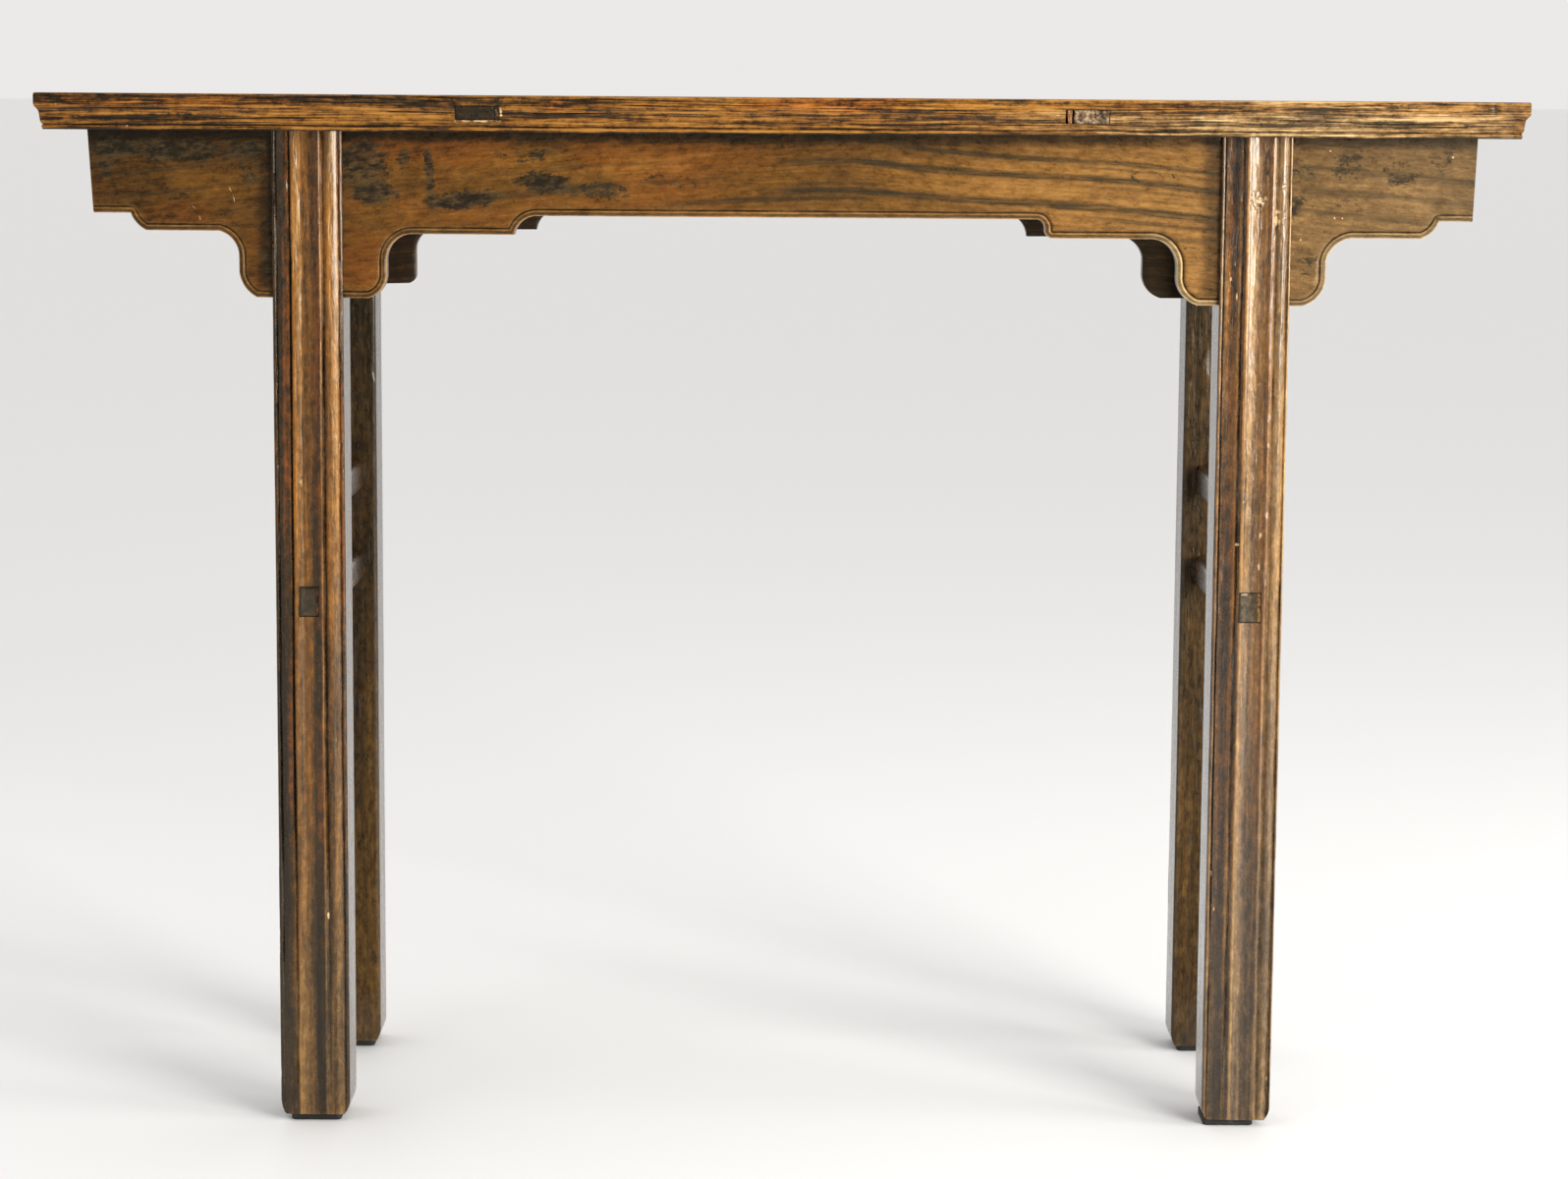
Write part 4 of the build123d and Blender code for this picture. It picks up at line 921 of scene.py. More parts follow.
# ------------------------------------------------------------------ aprons
END_Z = 771.4
OUTLINES = {
    "front_left": dict(kind="cove", mid=771.0, step=(203.0, 222.0), shelf=755.3,
        a=((305.0, 755.3), (321.5, 749.3), (328.0, 734.0)), b=((328.0, 721.0), (333.0, 708.6), (343.5, 702.0)),
        c=((436.0, 702.0), (445.8, 710.6), (450.6, 723.0)), d=((450.6, 735.0), (455.6, 750.0), (467.0, 757.0)),
        e=((527.0, 757.0), (535.4, 763.3), (540.0, END_Z)), low=570.5, top=574.5),
    "front_right": dict(kind="ogee", mid=771.0, step=(211.0, 224.5), shelf=755.3,
        a=((304.0, 755.3), (321.8, 749.0), (328.6, 734.0)), b=((328.6, 727.0), (333.0, 710.0), (346.5, 700.5)),
        c=((433.0, 700.5), (446.8, 708.6), (452.6, 726.0)), d=((452.6, 738.0), (459.0, 750.0), (473.0, 757.0)),
        e=((530.5, 757.0), (540.3, 762.8), (545.6, END_Z)), low=573.0, top=575.5),
    "rear_left": dict(kind="cove", mid=767.5, step=(203.0, 221.0), shelf=750.4,
        a=((309.0, 750.4), (324.3, 745.0), (330.0, 733.0)), b=((330.0, 710.0), (331.2, 705.0), (336.0, 701.5)),
        c=((436.0, 698.5), (445.4, 706.0), (450.6, 719.0)), d=((450.6, 731.0), (455.6, 745.6), (467.0, 752.5)),
        e=((527.0, 752.5), (535.6, 761.0), (540.0, END_Z)), low=570.5, top=574.5),
    "rear_right": dict(kind="cove", mid=767.5, step=(203.0, 221.5), shelf=747.2,
        a=((300.0, 747.2), (318.5, 742.6), (326.4, 729.0)), b=((326.4, 714.0), (330.6, 701.2), (343.0, 692.4)),
        c=((436.0, 692.4), (446.2, 702.0), (452.2, 716.0)), d=((452.2, 728.0), (458.6, 742.6), (472.0, 750.0)),
        e=((530.0, 750.0), (539.8, 759.5), (545.0, END_Z)), low=573.0, top=575.5),
}


def half_edge(o, step=1.7):
    """Lower edge of half an apron from the middle out, as (|X|, Z)."""
    (x1, x2), mid, shelf = o["step"], o["mid"], o["shelf"]
    if o["kind"] == "cove":
        first = arc3((x1, mid), (x1 + (x2 - x1) * 0.77, mid - (mid - shelf) * 0.42), (x2, shelf), 14)
    else:
        # an ogee: round over, then a hollow, tangent to each other
        turn = ((x1 + x2) / 2 + 0.6, (mid + shelf) / 2 - 0.4)
        dx, dz = turn[0] - x1, turn[1] - mid
        r = (dx * dx + dz * dz) / (2 * abs(dz))
        ang = math.atan2(dx, r - abs(dz))
        over = [(x1 + r * math.sin(ang * k / 8), mid - r * (1 - math.cos(ang * k / 8))) for k in range(9)]
        tx, tz = math.cos(ang), -math.sin(ang)
        ex, ez = x2 - turn[0], shelf - turn[1]
        cross = tx * ez - tz * ex
        k = (ex * ex + ez * ez) / (2 * abs(cross))
        side = 1 if cross > 0 else -1
        cx, cz = turn[0] - side * tz * k, turn[1] + side * tx * k
        a0 = math.atan2(turn[1] - cz, turn[0] - cx)
        a1 = math.atan2(shelf - cz, x2 - cx)
        sweep = (a1 - a0 + math.pi) % (2 * math.pi) - math.pi
        first = over + [(cx + k * math.cos(a0 + sweep * q / 8), cz + k * math.sin(a0 + sweep * q / 8)) for q in range(1, 9)]
    (a0, a1, a2), (b0, b1, b2), (c0, c1, c2), (d0, d1, d2), (e0, e1, e2) = (o[k] for k in "abcde")
    return chain(line((0, mid), (x1, mid), step * 1.4), first, line((x2, shelf), a0, step * 1.4), arc3(a0, a1, a2, 18),
                 line(a2, b0, step), arc3(b0, b1, b2, 14), line(b2, c0, step * 1.6), arc3(c0, c1, c2, 14),
                 line(c2, d0, step), arc3(d0, d1, d2, 14), line(d2, e0, step * 1.4), arc3(e0, e1, e2, 12),
                 line(e2, (o["low"], END_Z), step * 1.2))


def offset_run(p, d):
    """The open run p moved by d to its left, without the loops."""
    p = np.array(p)
    seg = np.diff(p, axis=0)
    seg /= np.linalg.norm(seg, axis=1, keepdims=True)
    nrm = np.stack([-seg[:, 1], seg[:, 0]], axis=1)
    n0 = np.vstack([nrm[:1], nrm])
    n1 = np.vstack([nrm, nrm[-1:]])
    m = n0 + n1
    m /= np.maximum((m * n1).sum(axis=1, keepdims=True), 0.25)
    q = p + m * d
    keep = run_distance(q, p) > d * 0.985
    return q[keep]


def run_distance(q, p):
    """Distance from each point q to the polyline p."""
    q, p = np.asarray(q, float), np.asarray(p, float)
    best = np.full(len(q), 1e9)
    a, ab = p[:-1], np.diff(p, axis=0)
    l2 = (ab ** 2).sum(axis=1)
    for k in range(0, len(q), 4000):
        part = q[k:k + 4000]
        t = np.clip(((part[:, None] - a) * ab).sum(-1) / l2, 0, 1)
        d = np.linalg.norm(part[:, None] - (a + t[..., None] * ab), axis=-1)
        best[k:k + 4000] = d.min(axis=1)
    return best


def apron_face(closed, run, rings, spacing, seed, margin, inner_x=None, dense=()):
    """Flat triangles inside the closed outline, as (points, triangles, origins).
    dense are (x, z, radius) places that get closer points."""
    pts = [tuple(q) for q in closed]
    edges = [(k, (k + 1) % len(closed)) for k in range(len(closed))]
    for ring in rings:
        k0 = len(pts)
        pts += [tuple(q) for q in ring]
        edges += [(k, k + 1) for k in range(k0, len(pts) - 1)
                  if math.dist(pts[k], pts[k + 1]) < 12]
    c = np.array(closed)
    xs = np.arange(c[:, 0].min() + spacing / 2, c[:, 0].max(), spacing)
    zs = np.arange(c[:, 1].min() + spacing / 2, c[:, 1].max(), spacing)
    gx, gz = np.meshgrid(xs, zs)
    gx = gx + np.where(np.arange(len(zs))[:, None] % 2 == 1, spacing / 2, 0)
    g = np.stack([gx.ravel(), gz.ravel()], axis=1)
    g = g + 0.12 * spacing * np.stack([vnoise(g[:, 0] * 0.7, g[:, 1] * 0.7, 1, seed),
                                       vnoise(g[:, 0] * 0.7, g[:, 1] * 0.7, 2, seed)], axis=1)
    for x in inner_x or ():
        for dx in (0.5, 2.0):
            for s in (-1, 1):
                z = np.arange(c[:, 1].min(), 838.0, 3.0)
                g = np.vstack([g, np.stack([np.full(len(z), s * (x[0] + x[1] * dx)), z], axis=1)])
    for dx, dz, r in dense:
        a = np.arange(-r, r + 0.1, 0.75)
        qx, qz = np.meshgrid(a + dx, a + dz)
        q = np.stack([qx.ravel(), qz.ravel()], axis=1)
        q = q[np.hypot(q[:, 0] - dx, q[:, 1] - dz) < r]
        g = np.vstack([g[np.hypot(g[:, 0] - dx, g[:, 1] - dz) > r + 0.6], q])
    inside = np.zeros(len(g), bool)
    j = len(c) - 1
    for i in range(len(c)):
        (xi, zi), (xj, zj) = c[i], c[j]
        hit = ((zi > g[:, 1]) != (zj > g[:, 1])) & (g[:, 0] < (xj - xi) * (g[:, 1] - zi) / ((zj - zi) or 1e-9) + xi)
        inside ^= hit
        j = i
    g = g[inside]
    g = g[run_distance(g, np.vstack([c, c[:1]])) > 1.3]
    g = g[run_distance(g, run) > margin]
    pts += [tuple(q) for q in g]
    out = geometry.delaunay_2d_cdt([Vector(q) for q in pts], edges, [list(range(len(closed)))], 1, 1e-5)
    return np.array([tuple(v) for v in out[0]]), [list(f) for f in out[2]], out[3]


def make_apron(name, sy, left, right, seed, material, paint=None, dense=()):
    lo, ro = OUTLINES[left], OUTLINES[right]
    l = [(-x, z) for x, z in half_edge(lo)]
    r = half_edge(ro)
    run = chain(list(reversed(l)), r)                       # left end to right end
    run = np.array(run)
    # the edge was sawn by hand
    wob = 0.22 * fbm(run[:, 0] * 0.05, run[:, 1] * 0.05, 0, seed + 31, 3)
    fade = smooth(0, 12, np.minimum(run[:, 0] + lo["low"], ro["low"] - run[:, 0]))
    off = np.gradient(run, axis=0)
    off /= np.maximum(np.linalg.norm(off, axis=1, keepdims=True), 1e-9)
    run = run + np.stack([-off[:, 1], off[:, 0]], axis=1) * (np.abs(wob) * fade)[:, None]
    levels = [0.45, 1.1, 2.4, 3.7, 4.35, 4.75, 5.3, 5.9, 6.6]
    def end_x(o, z):
        return o["low"] + (o["top"] - o["low"]) * (z - END_Z) / (UNDER - END_Z)
    rings = []
    for d in levels:
        q = offset_run(run, d)
        q = q[(q[:, 0] > -lo["low"] + 0.3) & (q[:, 0] < ro["low"] - 0.3)]
        z = END_Z + d
        rings.append(np.vstack([[(-end_x(lo, z), z)], q, [(end_x(ro, z), z)]]))
    up_z = sorted([END_Z + d for d in levels] + list(np.arange(END_Z + 9.5, UNDER - 1.5, 3.0)) + [UNDER])
    right_end = [(end_x(ro, z), z) for z in up_z]
    left_end = [(-end_x(lo, z), z) for z in reversed(up_z)]
    top = line((ro["top"], UNDER), (-lo["top"], UNDER), 3.0)[1:-1]
    closed = [tuple(q) for q in run] + right_end + top + left_end
    closed = np.array(closed)
    nc = len(closed)

    def back_of(q):
        """The outline as it is on the inner face, past the mitre."""
        q = np.array(q, float)
        x = q[:, 0]
        for s, o in ((-1, lo), (1, ro)):
            edge = end_x(o, q[:, 1])
            over = np.clip(s * x - 548, 0, None)
            x = np.where(s * x > 548, s * (548 + over * (edge - 18 - 548) / (edge - 548)), x)
        return np.stack([x, q[:, 1]], axis=1)

    back = back_of(closed)
    rings_back = [back_of(rings[1]), back_of(rings[3])]
    h = LEG_W / 2
    fp, ff, forig = apron_face(closed, run, rings, 3.2, seed, 6.9, [(LEG_X - h, 1), (LEG_X + h, -1)], dense)
    bp, bf, borig = apron_face(back, back_of(run), rings_back, 9.0, seed + 1, 4.5, [(LEG_X - h, 1), (LEG_X + h, -1)])

    def values(p, d, is_front):
        x, z = p[:, 0], p[:, 1]
        y = np.full(len(p), 144.0 if is_front else 126.0)
        cav = np.zeros(len(p))
        under_leg = smooth(LEG_X - h + 0.5, LEG_X - h + 2, np.abs(x)) * smooth(LEG_X + h - 0.5, LEG_X + h - 2, np.abs(x))
        if is_front:
            lv = [0.0, 0.45, 1.1, 2.4, 3.7, 4.35, 4.75, 5.3, 5.9, 6.6, 7.5]
            hh = [2.0, 1.05, 0.45, 0.05, 0.0, 0.28, 0.8, 1.45, 0.75, 0.15, 0.0]
            wobble = 0.75 + 0.5 * vnoise(x * 0.04, z * 0.04, 3, seed + 33)
            back_off = np.interp(d, lv, hh)
            back_off = np.where((d > 4.2) & (d < 7), back_off * wobble, back_off)
            y = y - back_off
            y -= 0.14 + 0.14 * fbm(x * 0.008, z * 0.03, 0, seed + 35, 2)
            y -= 0.07 * (1 + fbm(x * 0.05, z * 0.25, 0, seed + 36, 2)) * smooth(5, 8, d)
            cav = np.interp(d, [0, 0.6, 1.5, 3.0, 3.8, 4.3, 4.9, 5.4, 6.0, 6.8], [-1.0, -0.9, 0.2, 0.25, -0.75, -0.5, 0.7, 0.95, 0.3, 0])
            chipped = smooth(0.5, 0.9, fbm(x * 0.12, z * 0.12, 0, seed + 37, 3))
            y -= np.interp(d, [0, 1, 3], [1, 0.5, 0]) * chipped * 0.9
        else:
            y = y + np.interp(d, [0, 0.9, 2], [0.9, 0.2, 0.0]) + 0.15 + 0.12 * fbm(x * 0.01, z * 0.05, 0, seed + 38, 2)
        waist = (141.85 if is_front else 128.15)
        y = y * (1 - under_leg) + waist * under_leg
        return y, cav

    b = Build()
    out_ids = {}
    for pts, faces, orig, is_front in ((fp, ff, forig, True), (bp, bf, borig, False)):
        ref = run if is_front else back_of(run)
        d = run_distance(pts, ref)
        y, cav = values(pts, d, is_front)
        p3 = np.stack([pts[:, 0], sy * y, pts[:, 1]], axis=1)
        x, z = pts[:, 0], pts[:, 1]
        # growth rings run up to a peak left of the middle
        arch = np.interp(x, [-575, -300, -146, -80, -43, -6, 31, 50, 78, 110, 162, 212, 270, 326, 400, 575],
                         [60, 28, 10.5, 7.4, 4.9, 2.9, 0.8, 0.3, 1.8, 5.6, 9.7, 11.8, 15.5, 20.5, 27, 42])
        slope = z + arch + 2.0 * fbm(x * 0.006, z * 0.02, 0, seed + 41, 2)
        grain = np.stack([x, 30 + 0.35 * z + (0 if is_front else 400) + 0 * y, slope], axis=1)
        kw = dict(cav=cav, grain=grain)
        if is_front and paint:
            dk, wm, lt, ch = paint(x, z, d)
            kw.update(dark=dk, warm=wm, light=lt, chip=ch)
        # the inner face is unlacquered and painted dark as shade
        if not is_front:
            kw.update(bare=1.0)
        ids = b.add(p3, **kw)
        # which of the new points is each outline point
        where = np.full(nc, -1)
        for k, src in enumerate(orig):
            for q in src:
                if q < nc:
                    where[q] = ids[k]
        assert (where >= 0).all()
        out_ids[is_front] = where
        v0, v1 = (0.0, 0.53) if is_front else (0.61, 1.0)
        zlo, zhi = 690.0, 841.0
        for f in faces:
            b.faces.append([int(ids[k]) for k in f])
            b.uv.append([((pts[k, 0] + 577) / 1154, v0 + (v1 - v0) * (pts[k, 1] - zlo) / (zhi - zlo)) for k in f])
    # the sawn edge between the two faces
    fr, bk = out_ids[True], out_ids[False]
    co = np.concatenate(b.co)
    pf, pb = co[fr], co[bk]
    levels_t = [0.0, 0.04, 0.12, 0.3, 0.5, 0.7, 0.9, 1.0]
    grids = [fr]
    nlow = len(run)
    lowmask = (np.arange(nc) < nlow).astype(float)
    for t in levels_t[1:-1]:
        q = pf * (1 - t) + pb * t
        hollow = (0.12 + 0.15 * fbm(q[:, 0] * 0.04, q[:, 1] * 0.04, q[:, 2] * 0.04, seed + 43, 2)) * lowmask
        # towards the inside of the board
        if t == 0.04:
            hollow = hollow * 0.3
        q[:, 2] += hollow * 0.5
        cavt = np.where(lowmask > 0, -0.5 * math.exp(-t / 0.05) - 0.15, 0.2)
        grids.append(b.add(q, cav=cavt, bare=0.15 + 0.5 * smooth(0.2, 1.0, t),
                           dark=np.full(nc, 0.35 * t), grain=np.stack([q[:, 0], q[:, 1], q[:, 2]], -1)))
    grids.append(bk)
    u = np.concatenate([[0], np.cumsum(np.linalg.norm(np.roll(closed, -1, 0) - closed, axis=1))])
    b.quads(np.stack(grids), wrap=True, box=(0, 0.54, 1, 0.60), u=u / u[-1], v=levels_t)
    # tongue along the top edge
    box_grid(b, [-545, -393, 0, 393, 545], sorted([sy * 133.1, sy * 138.9]), [838.0, 844.6],
             values=lambda q: dict(bare=1.0), box=(0.0, 0.605, 0.2, 0.609))
    return b.object(name, material, [name], sharp=42)


def make_end_apron(name, sx, seed, material):
    top, low = (574.5, 570.5) if sx < 0 else (575.5, 573.0)
    lean = (top - low) / (UNDER - END_Z)
    outer = chain(line((0.9, 0.0), (0.25, 0.2), 0.5), line((0.25, 0.2), (0.0, 0.9), 0.5), line((0, 0.9), (0, 4.2), 0.8),
                  [(0.15, 4.5), (0.6, 4.8), (1.3, 5.3), (0.6, 5.8), (0.1, 6.4)], line((0, 7), (0, 68.6), 2.2))
    loop = outer + [(9, 68.6)] + line((18, 68.6), (18, 0.8), 6.0) + [(17.4, 0.15), (9, 0.0)]
    loop = np.array(loop)
    n, no = len(loop), len(outer)
    ys = rows(-1.0, 1.0, 0.02)
    s = len(ys)
    I = np.broadcast_to(loop[:, 0], (s, n)).copy()
    U = np.broadcast_to(loop[:, 1], (s, n)).copy()
    Y = ys[:, None] * (144 - I)
    on = np.zeros(n)
    on[:no] = 1
    I += on * (0.14 + 0.13 * fbm(Y * 0.01, U * 0.03, sx, seed, 2) + 0.05 * fbm(Y * 0.04, U * 0.3, sx, seed + 2, 2))
    Y = ys[:, None] * (144 - I - 0.05)
    x = sx * (low + lean * U - I)
    z = END_Z + U
    p = np.stack([x, Y, z], -1)
    cav = np.zeros((s, n))
    cav[:, :no] = np.interp(U[:, :no], [0, 0.6, 1.3, 3.5, 4.6, 5.3, 6.0, 7.2], [-0.95, -0.7, -0.2, -0.15, 0.75, 1.3, 0.85, 0])
    bare = np.where(np.arange(n) >= no + 1, 1.0, 0.0)
    dark = smooth(52, 66, U) * 0.5 * on
    b = Build()
    ids = b.add(p, cav=cav, bare=np.broadcast_to(bare, (s, n)), dark=dark,
                grain=np.stack([Y, x * 0.4, z + 0.02 * Y], -1))
    b.quads(ids, wrap=True, box=(0, 0, 1, 0.97))
    b.poly(ids[0], (0.0, 0.98, 0.02, 1.0))
    b.poly(ids[-1], (0.03, 0.98, 0.05, 1.0))
    return b.object(name, material, [name], sharp=42)


# ------------------------------------------------------------------ stretchers
def ring_rect(w, h, r, corner=5, nx=8, nz=6):
    """Points round a rounded rectangle, always the same number."""
    pts = []
    hw, hh = w / 2 - r, h / 2 - r
    for cx, cz, a0, p1 in ((hw, hh, 0, None), (-hw, hh, 90, None), (-hw, -hh, 180, None), (hw, -hh, 270, None)):
        for k in range(corner + 1):
            a = math.radians(a0 + 90 * k / corner)
            pts.append((cx + r * math.cos(a), cz + r * math.sin(a)))
        nxt = {0: ((-hw, hh + r), nx), 90: ((-hw - r, -hh), nz), 180: ((hw, -hh - r), nx), 270: ((hw + r, hh), nz)}[a0]
        (qx, qz), m = nxt
        px, pz = pts[-1]
        for k in range(1, m):
            pts.append((px + (qx - px) * k / m, pz + (qz - pz) * k / m))
    return np.array(pts)


FACE_L = np.array(leg_face(False))
FACE_R = np.array(leg_face(True))


def face_back(across, right):
    f = FACE_R if right else FACE_L
    return np.interp(across, f[:, 0], f[:, 1])


def make_stretcher(name, sx, z, through, seed, material):
    cx = sx * LEG_X
    right = sx > 0
    yi = 98.0
    b = Build()
    body = ring_rect(34.0, 28.0, 6.0)
    n = len(body)
    if through:
        a, c = (-8.0, 11.0) if right else (-9.5, 7.0)
        tw, tc, th = c - a - 0.5, (a + c) / 2, 25.4
    else:
        tw, tc, th = 13.8, 0.0, 21.8
    ten = ring_rect(tw, th, 0.35)
    rings, tags = [], []
    ys = rows(-yi, yi, 3.2)
    for y in ys:
        wv = 0.18 + 0.2 * fbm(y * 0.02, body[:, 0] * 0.06, body[:, 1] * 0.06, seed, 2)
        wv = wv + 0.5 * smooth(0.5, 0.95, fbm(y * 0.06, body[:, 0] * 0.1, body[:, 1] * 0.1, seed + 3, 3))
        k = 1 - wv / 15.0
        rings.append(np.stack([cx + body[:, 0] * k, np.full(n, y), z + body[:, 1] * k], -1))
        tags.append((0.0, 0.0))
    out = []
    for s in (-1, 1):
        if through:
            ends = [yi, yi + 18, yi + 36]
        else:
            ends = [yi, yi + 29.6]
        seq = []
        for y in ends:
            seq.append(np.stack([cx + tc + ten[:, 0], np.full(n, s * y), z + ten[:, 1]], -1))
        if through:
            for k, back in ((1.0, 0.9), (0.93, 0.55), (0.75, 0.5), (0.5, 0.5), (0.25, 0.5)):
                q = np.stack([cx + tc + ten[:, 0] * k, np.zeros(n), z + ten[:, 1] * k], -1)
                t = face_back(q[:, 0] - cx, right)
                rag = 0.22 * fbm(q[:, 0] * 0.35, q[:, 2] * 0.35, s, seed + 5, 3)
                q[:, 1] = s * (LEG_Y + LEG_D / 2 - t - back - 0.35 - np.abs(rag))
                seq.append(q)
        out.append(seq)
    lo = list(reversed(out[0]))
    rings = lo + rings + out[1]
    p = np.stack(rings)
    m = len(rings)
    is_body = np.zeros(m)
    is_body[len(lo):len(lo) + len(ys)] = 1
    corner = np.exp(-((np.abs(body[:, 0]) - 13.5) ** 2 + (np.abs(body[:, 1]) - 10.8) ** 2) / 5.0)
    cav = -0.8 * corner[None, :] * is_body[:, None]
    near = np.exp(-(yi - np.abs(p[..., 1])).clip(0) / 5.0) * is_body[:, None]
    light = (-0.04 if right else -0.16) * (1 - is_body[:, None]) * np.ones((m, n)) - 0.05
    dark = near * 0.7 + (0.42 if right else 0.6) * (1 - is_body[:, None]) + 0.25 * is_body[:, None]
    chip = np.zeros((m, n))
    ids = b.add(p, cav=cav + 0.5 * near, dark=dark, light=light, chip=chip,
                bare=np.broadcast_to(0.25 * (1 - is_body[:, None]), (m, n)), warm=np.broadcast_to(-0.9 * (1 - is_body[:, None]), (m, n)),
                grain=np.stack([p[..., 1], p[..., 0], p[..., 2]], -1))
    b.quads(ids, wrap=True, box=(0, 0, 0.97, 1))
    b.poly(ids[0])
    b.poly(ids[-1])
    return b.object(name, material, [name], sharp=45)


# ================================================================== the table
def paint_front_edge(x, b, d, on_edge, on_top):
    """Long streaks of dark lacquer and of rubbed gold along the front edge."""
    e = on_edge
    wave = 0.9 * vnoise(x * 0.012, 0, 0, 301)
    bb = b + wave
    dark = e * blobs(x, bb, [
        (-590, 4, 22, 4, 0, 0.5), (-545, 5, 34, 4, 1, 0.75), (-480, 6.5, 46, 3.5, 0, 0.6), (-420, 3, 30, 3, 0, 0.5),
        (-300, 5, 60, 6, 0, 0.75), (-225, 4, 40, 5, 0, 0.7), (-248, 17, 26, 4, 0, 0.75), (-49, 3, 20, 4.5, -4, 0.85),
        (-443.8, 10.2, 3, 2, 0, 1.0), (-392.5, 22, 4, 2.2, 0, 0.9), (339.5, 17.2, 5, 2.6, 0, 1.1),
        (205, 2, 62, 1.8, 2, 0.8), (185, 4.8, 26, 1.5, 0, 0.9), (505, 4.0, 20, 3.6, 0, 0.85),
        (512, 18.5, 30, 2.6, 2, 0.8), (583.5, 5.5, 2.6, 4.5, 0, 0.9), (340, 5, 60, 2.2, 0, 0.45),
        (-100, 19, 60, 1.2, 0, 0.5), (60, 18.6, 70, 1.2, 1, 0.6), (420, 13.5, 44, 1.1, 0, 0.7)])
    lines = e * (
        0.85 * np.exp(-((bb - 14.4) / 0.75) ** 2) * smooth(-238, -225, x) * smooth(8, -20, x)
        + 0.7 * np.exp(-((bb - 12.6) / 1.3) ** 2) * smooth(-612, -590, x) * smooth(-330, -390, x)
        + 0.9 * np.exp(-((bb - 19.8) / 1.4) ** 2) * smooth(-610, -560, x) * smooth(-360, -400, x)
        + 0.7 * np.exp(-((bb - 15.2) / 0.8) ** 2) * smooth(296, 306, x) * smooth(336, 326, x)
        + 0.55 * np.exp(-((bb - 8.9 - 0.006 * x) / 0.6) ** 2) * smooth(40, 70, x) * smooth(300, 250, x)
        + 0.6 * np.exp(-((bb - 20.6 + 0.004 * x) / 0.7) ** 2) * smooth(80, 120, x) * smooth(600, 500, x)
        + 0.5 * np.exp(-((bb - 6.4) / 0.55) ** 2) * smooth(400, 430, x) * smooth(590, 560, x))
    ticks = e * smooth(0.35, 0.6, vnoise(x * 0.36, 0, 0, 303)) * np.exp(-((b - 17.4) / 1.9) ** 4) \
        * smooth(-522, -514, x) * smooth(-476, -484, x)
    light = -0.30 * lines - 0.30 * ticks
    light += e * (
        0.20 * np.exp(-((bb - 10.9) / 0.6) ** 2) * smooth(-585, -560, x) * smooth(-370, -410, x)
        + 0.22 * np.exp(-((bb - 12.7) / 0.6) ** 2) * smooth(-214, -200, x) * smooth(-50, -72, x)
        + 0.10 * np.exp(-((bb - 16.0) / 1.6) ** 2) * smooth(-612, -580, x) * smooth(-250, -300, x)
        + 0.07 * np.exp(-((bb - 13.0) / 1.4) ** 2) * smooth(500, 515, x) * smooth(592, 580, x))
    # general tone from left to right
    up = smooth(12, 8, b)
    light += e * np.interp(x, [-612, -520, -420, -330, -190, -140, -60, 0, 90, 300, 480, 520, 612],
                           [-0.10, -0.16, -0.14, -0.18, -0.12, 0.0, 0.02, 0.06, 0.06, 0.07, 0.02, 0.06, 0.03]) * up
    light += e * np.interp(x, [-612, -450, -420, -190, -150, 300, 612],
                           [-0.08, -0.04, 0.03, 0.01, 0.05, 0.06, 0.05]) * (1 - up)
    light += e * 0.05 * smooth(26.2, 27.2, b) * smooth(29.4, 28.4, b) * smooth(-560, -440, x)
    light -= e * 0.16 * np.exp(-((b - 25.3) / 0.8) ** 2)
    warm = e * (0.5 * blobs(x, b, [(43, 5, 46, 7, 0, 1.0), (-10, 5, 24, 6, 0, 0.6), (-560, 6, 60, 6, 0, 0.45),
                                   (-460, 6, 60, 6, 0, 0.4), (-189.4, 8.2, 7, 5, 0, 1.0), (607, 20, 8, 12, 0, 0.7),
                                   (330, 8, 60, 6, 0, 0.35)]))
    # a knot: a dark eye in a paler ring
    k = np.hypot((x + 189.4) / 1.25, b - 8.2)
    light += e * (-0.16 * np.exp(-((k - 3.2) / 1.0) ** 2) + 0.06 * np.exp(-(k / 2.4) ** 2))
    # worn rim below and to the right of the left tenon
    rim = np.maximum(smooth(1.6, 0.6, np.abs(b - 21.2)) * smooth(-270.5, -268, x) * smooth(-228.5, -230, x),
                     smooth(1.25, 0.5, np.abs(x + 230.6)) * smooth(7.5, 9, b) * smooth(22.6, 21.6, b))
    dark = dark * (1 - rim)
    mid_right = smooth(230, 330, x) * smooth(560, 470, x)
    dark = dark * (1 - 0.3 * mid_right)
    light += e * (0.09 * mid_right * (0.5 + 0.5 * up) + 0.02 * smooth(470, 540, x) * up - 0.02 * up * smooth(-300, -420, x) + 0.04 * (1 - up) * smooth(200, -100, x) + 0.02 * (1 - up))
    warm = warm - e * (0.44 * smooth(200, 420, x) * (1 - 0.55 * smooth(450, 540, x)) + 0.34 * smooth(60, 300, x) * (1 - up))
    chip = 0.70 * rim * e * (0.75 + 0.35 * vnoise(x * 0.3, b * 0.8, 0, 307))
    return dark + 0.5 * lines + 0.5 * ticks, warm, light, chip


def paint_side_edge(seed):
    def go(x, b, d, on_edge, on_top):
        dark = on_edge * 0.6 * smooth(0.1, 0.7, fbm(x * 0.02, b * 0.12, 0, seed, 3))
        light = on_edge * (0.10 * fbm(x * 0.006, b * 0.4, 0, seed + 1, 2) - 0.10 * np.exp(-((b - 25.3) / 0.8) ** 2))
        light = light - on_top * 0.03
        return dark + on_top * 0.35 * smooth(-0.1, 0.8, fbm(x * 0.012, d * 0.03, 0, seed + 2, 3)), 0.2 * on_edge, light, 0.0
    return go


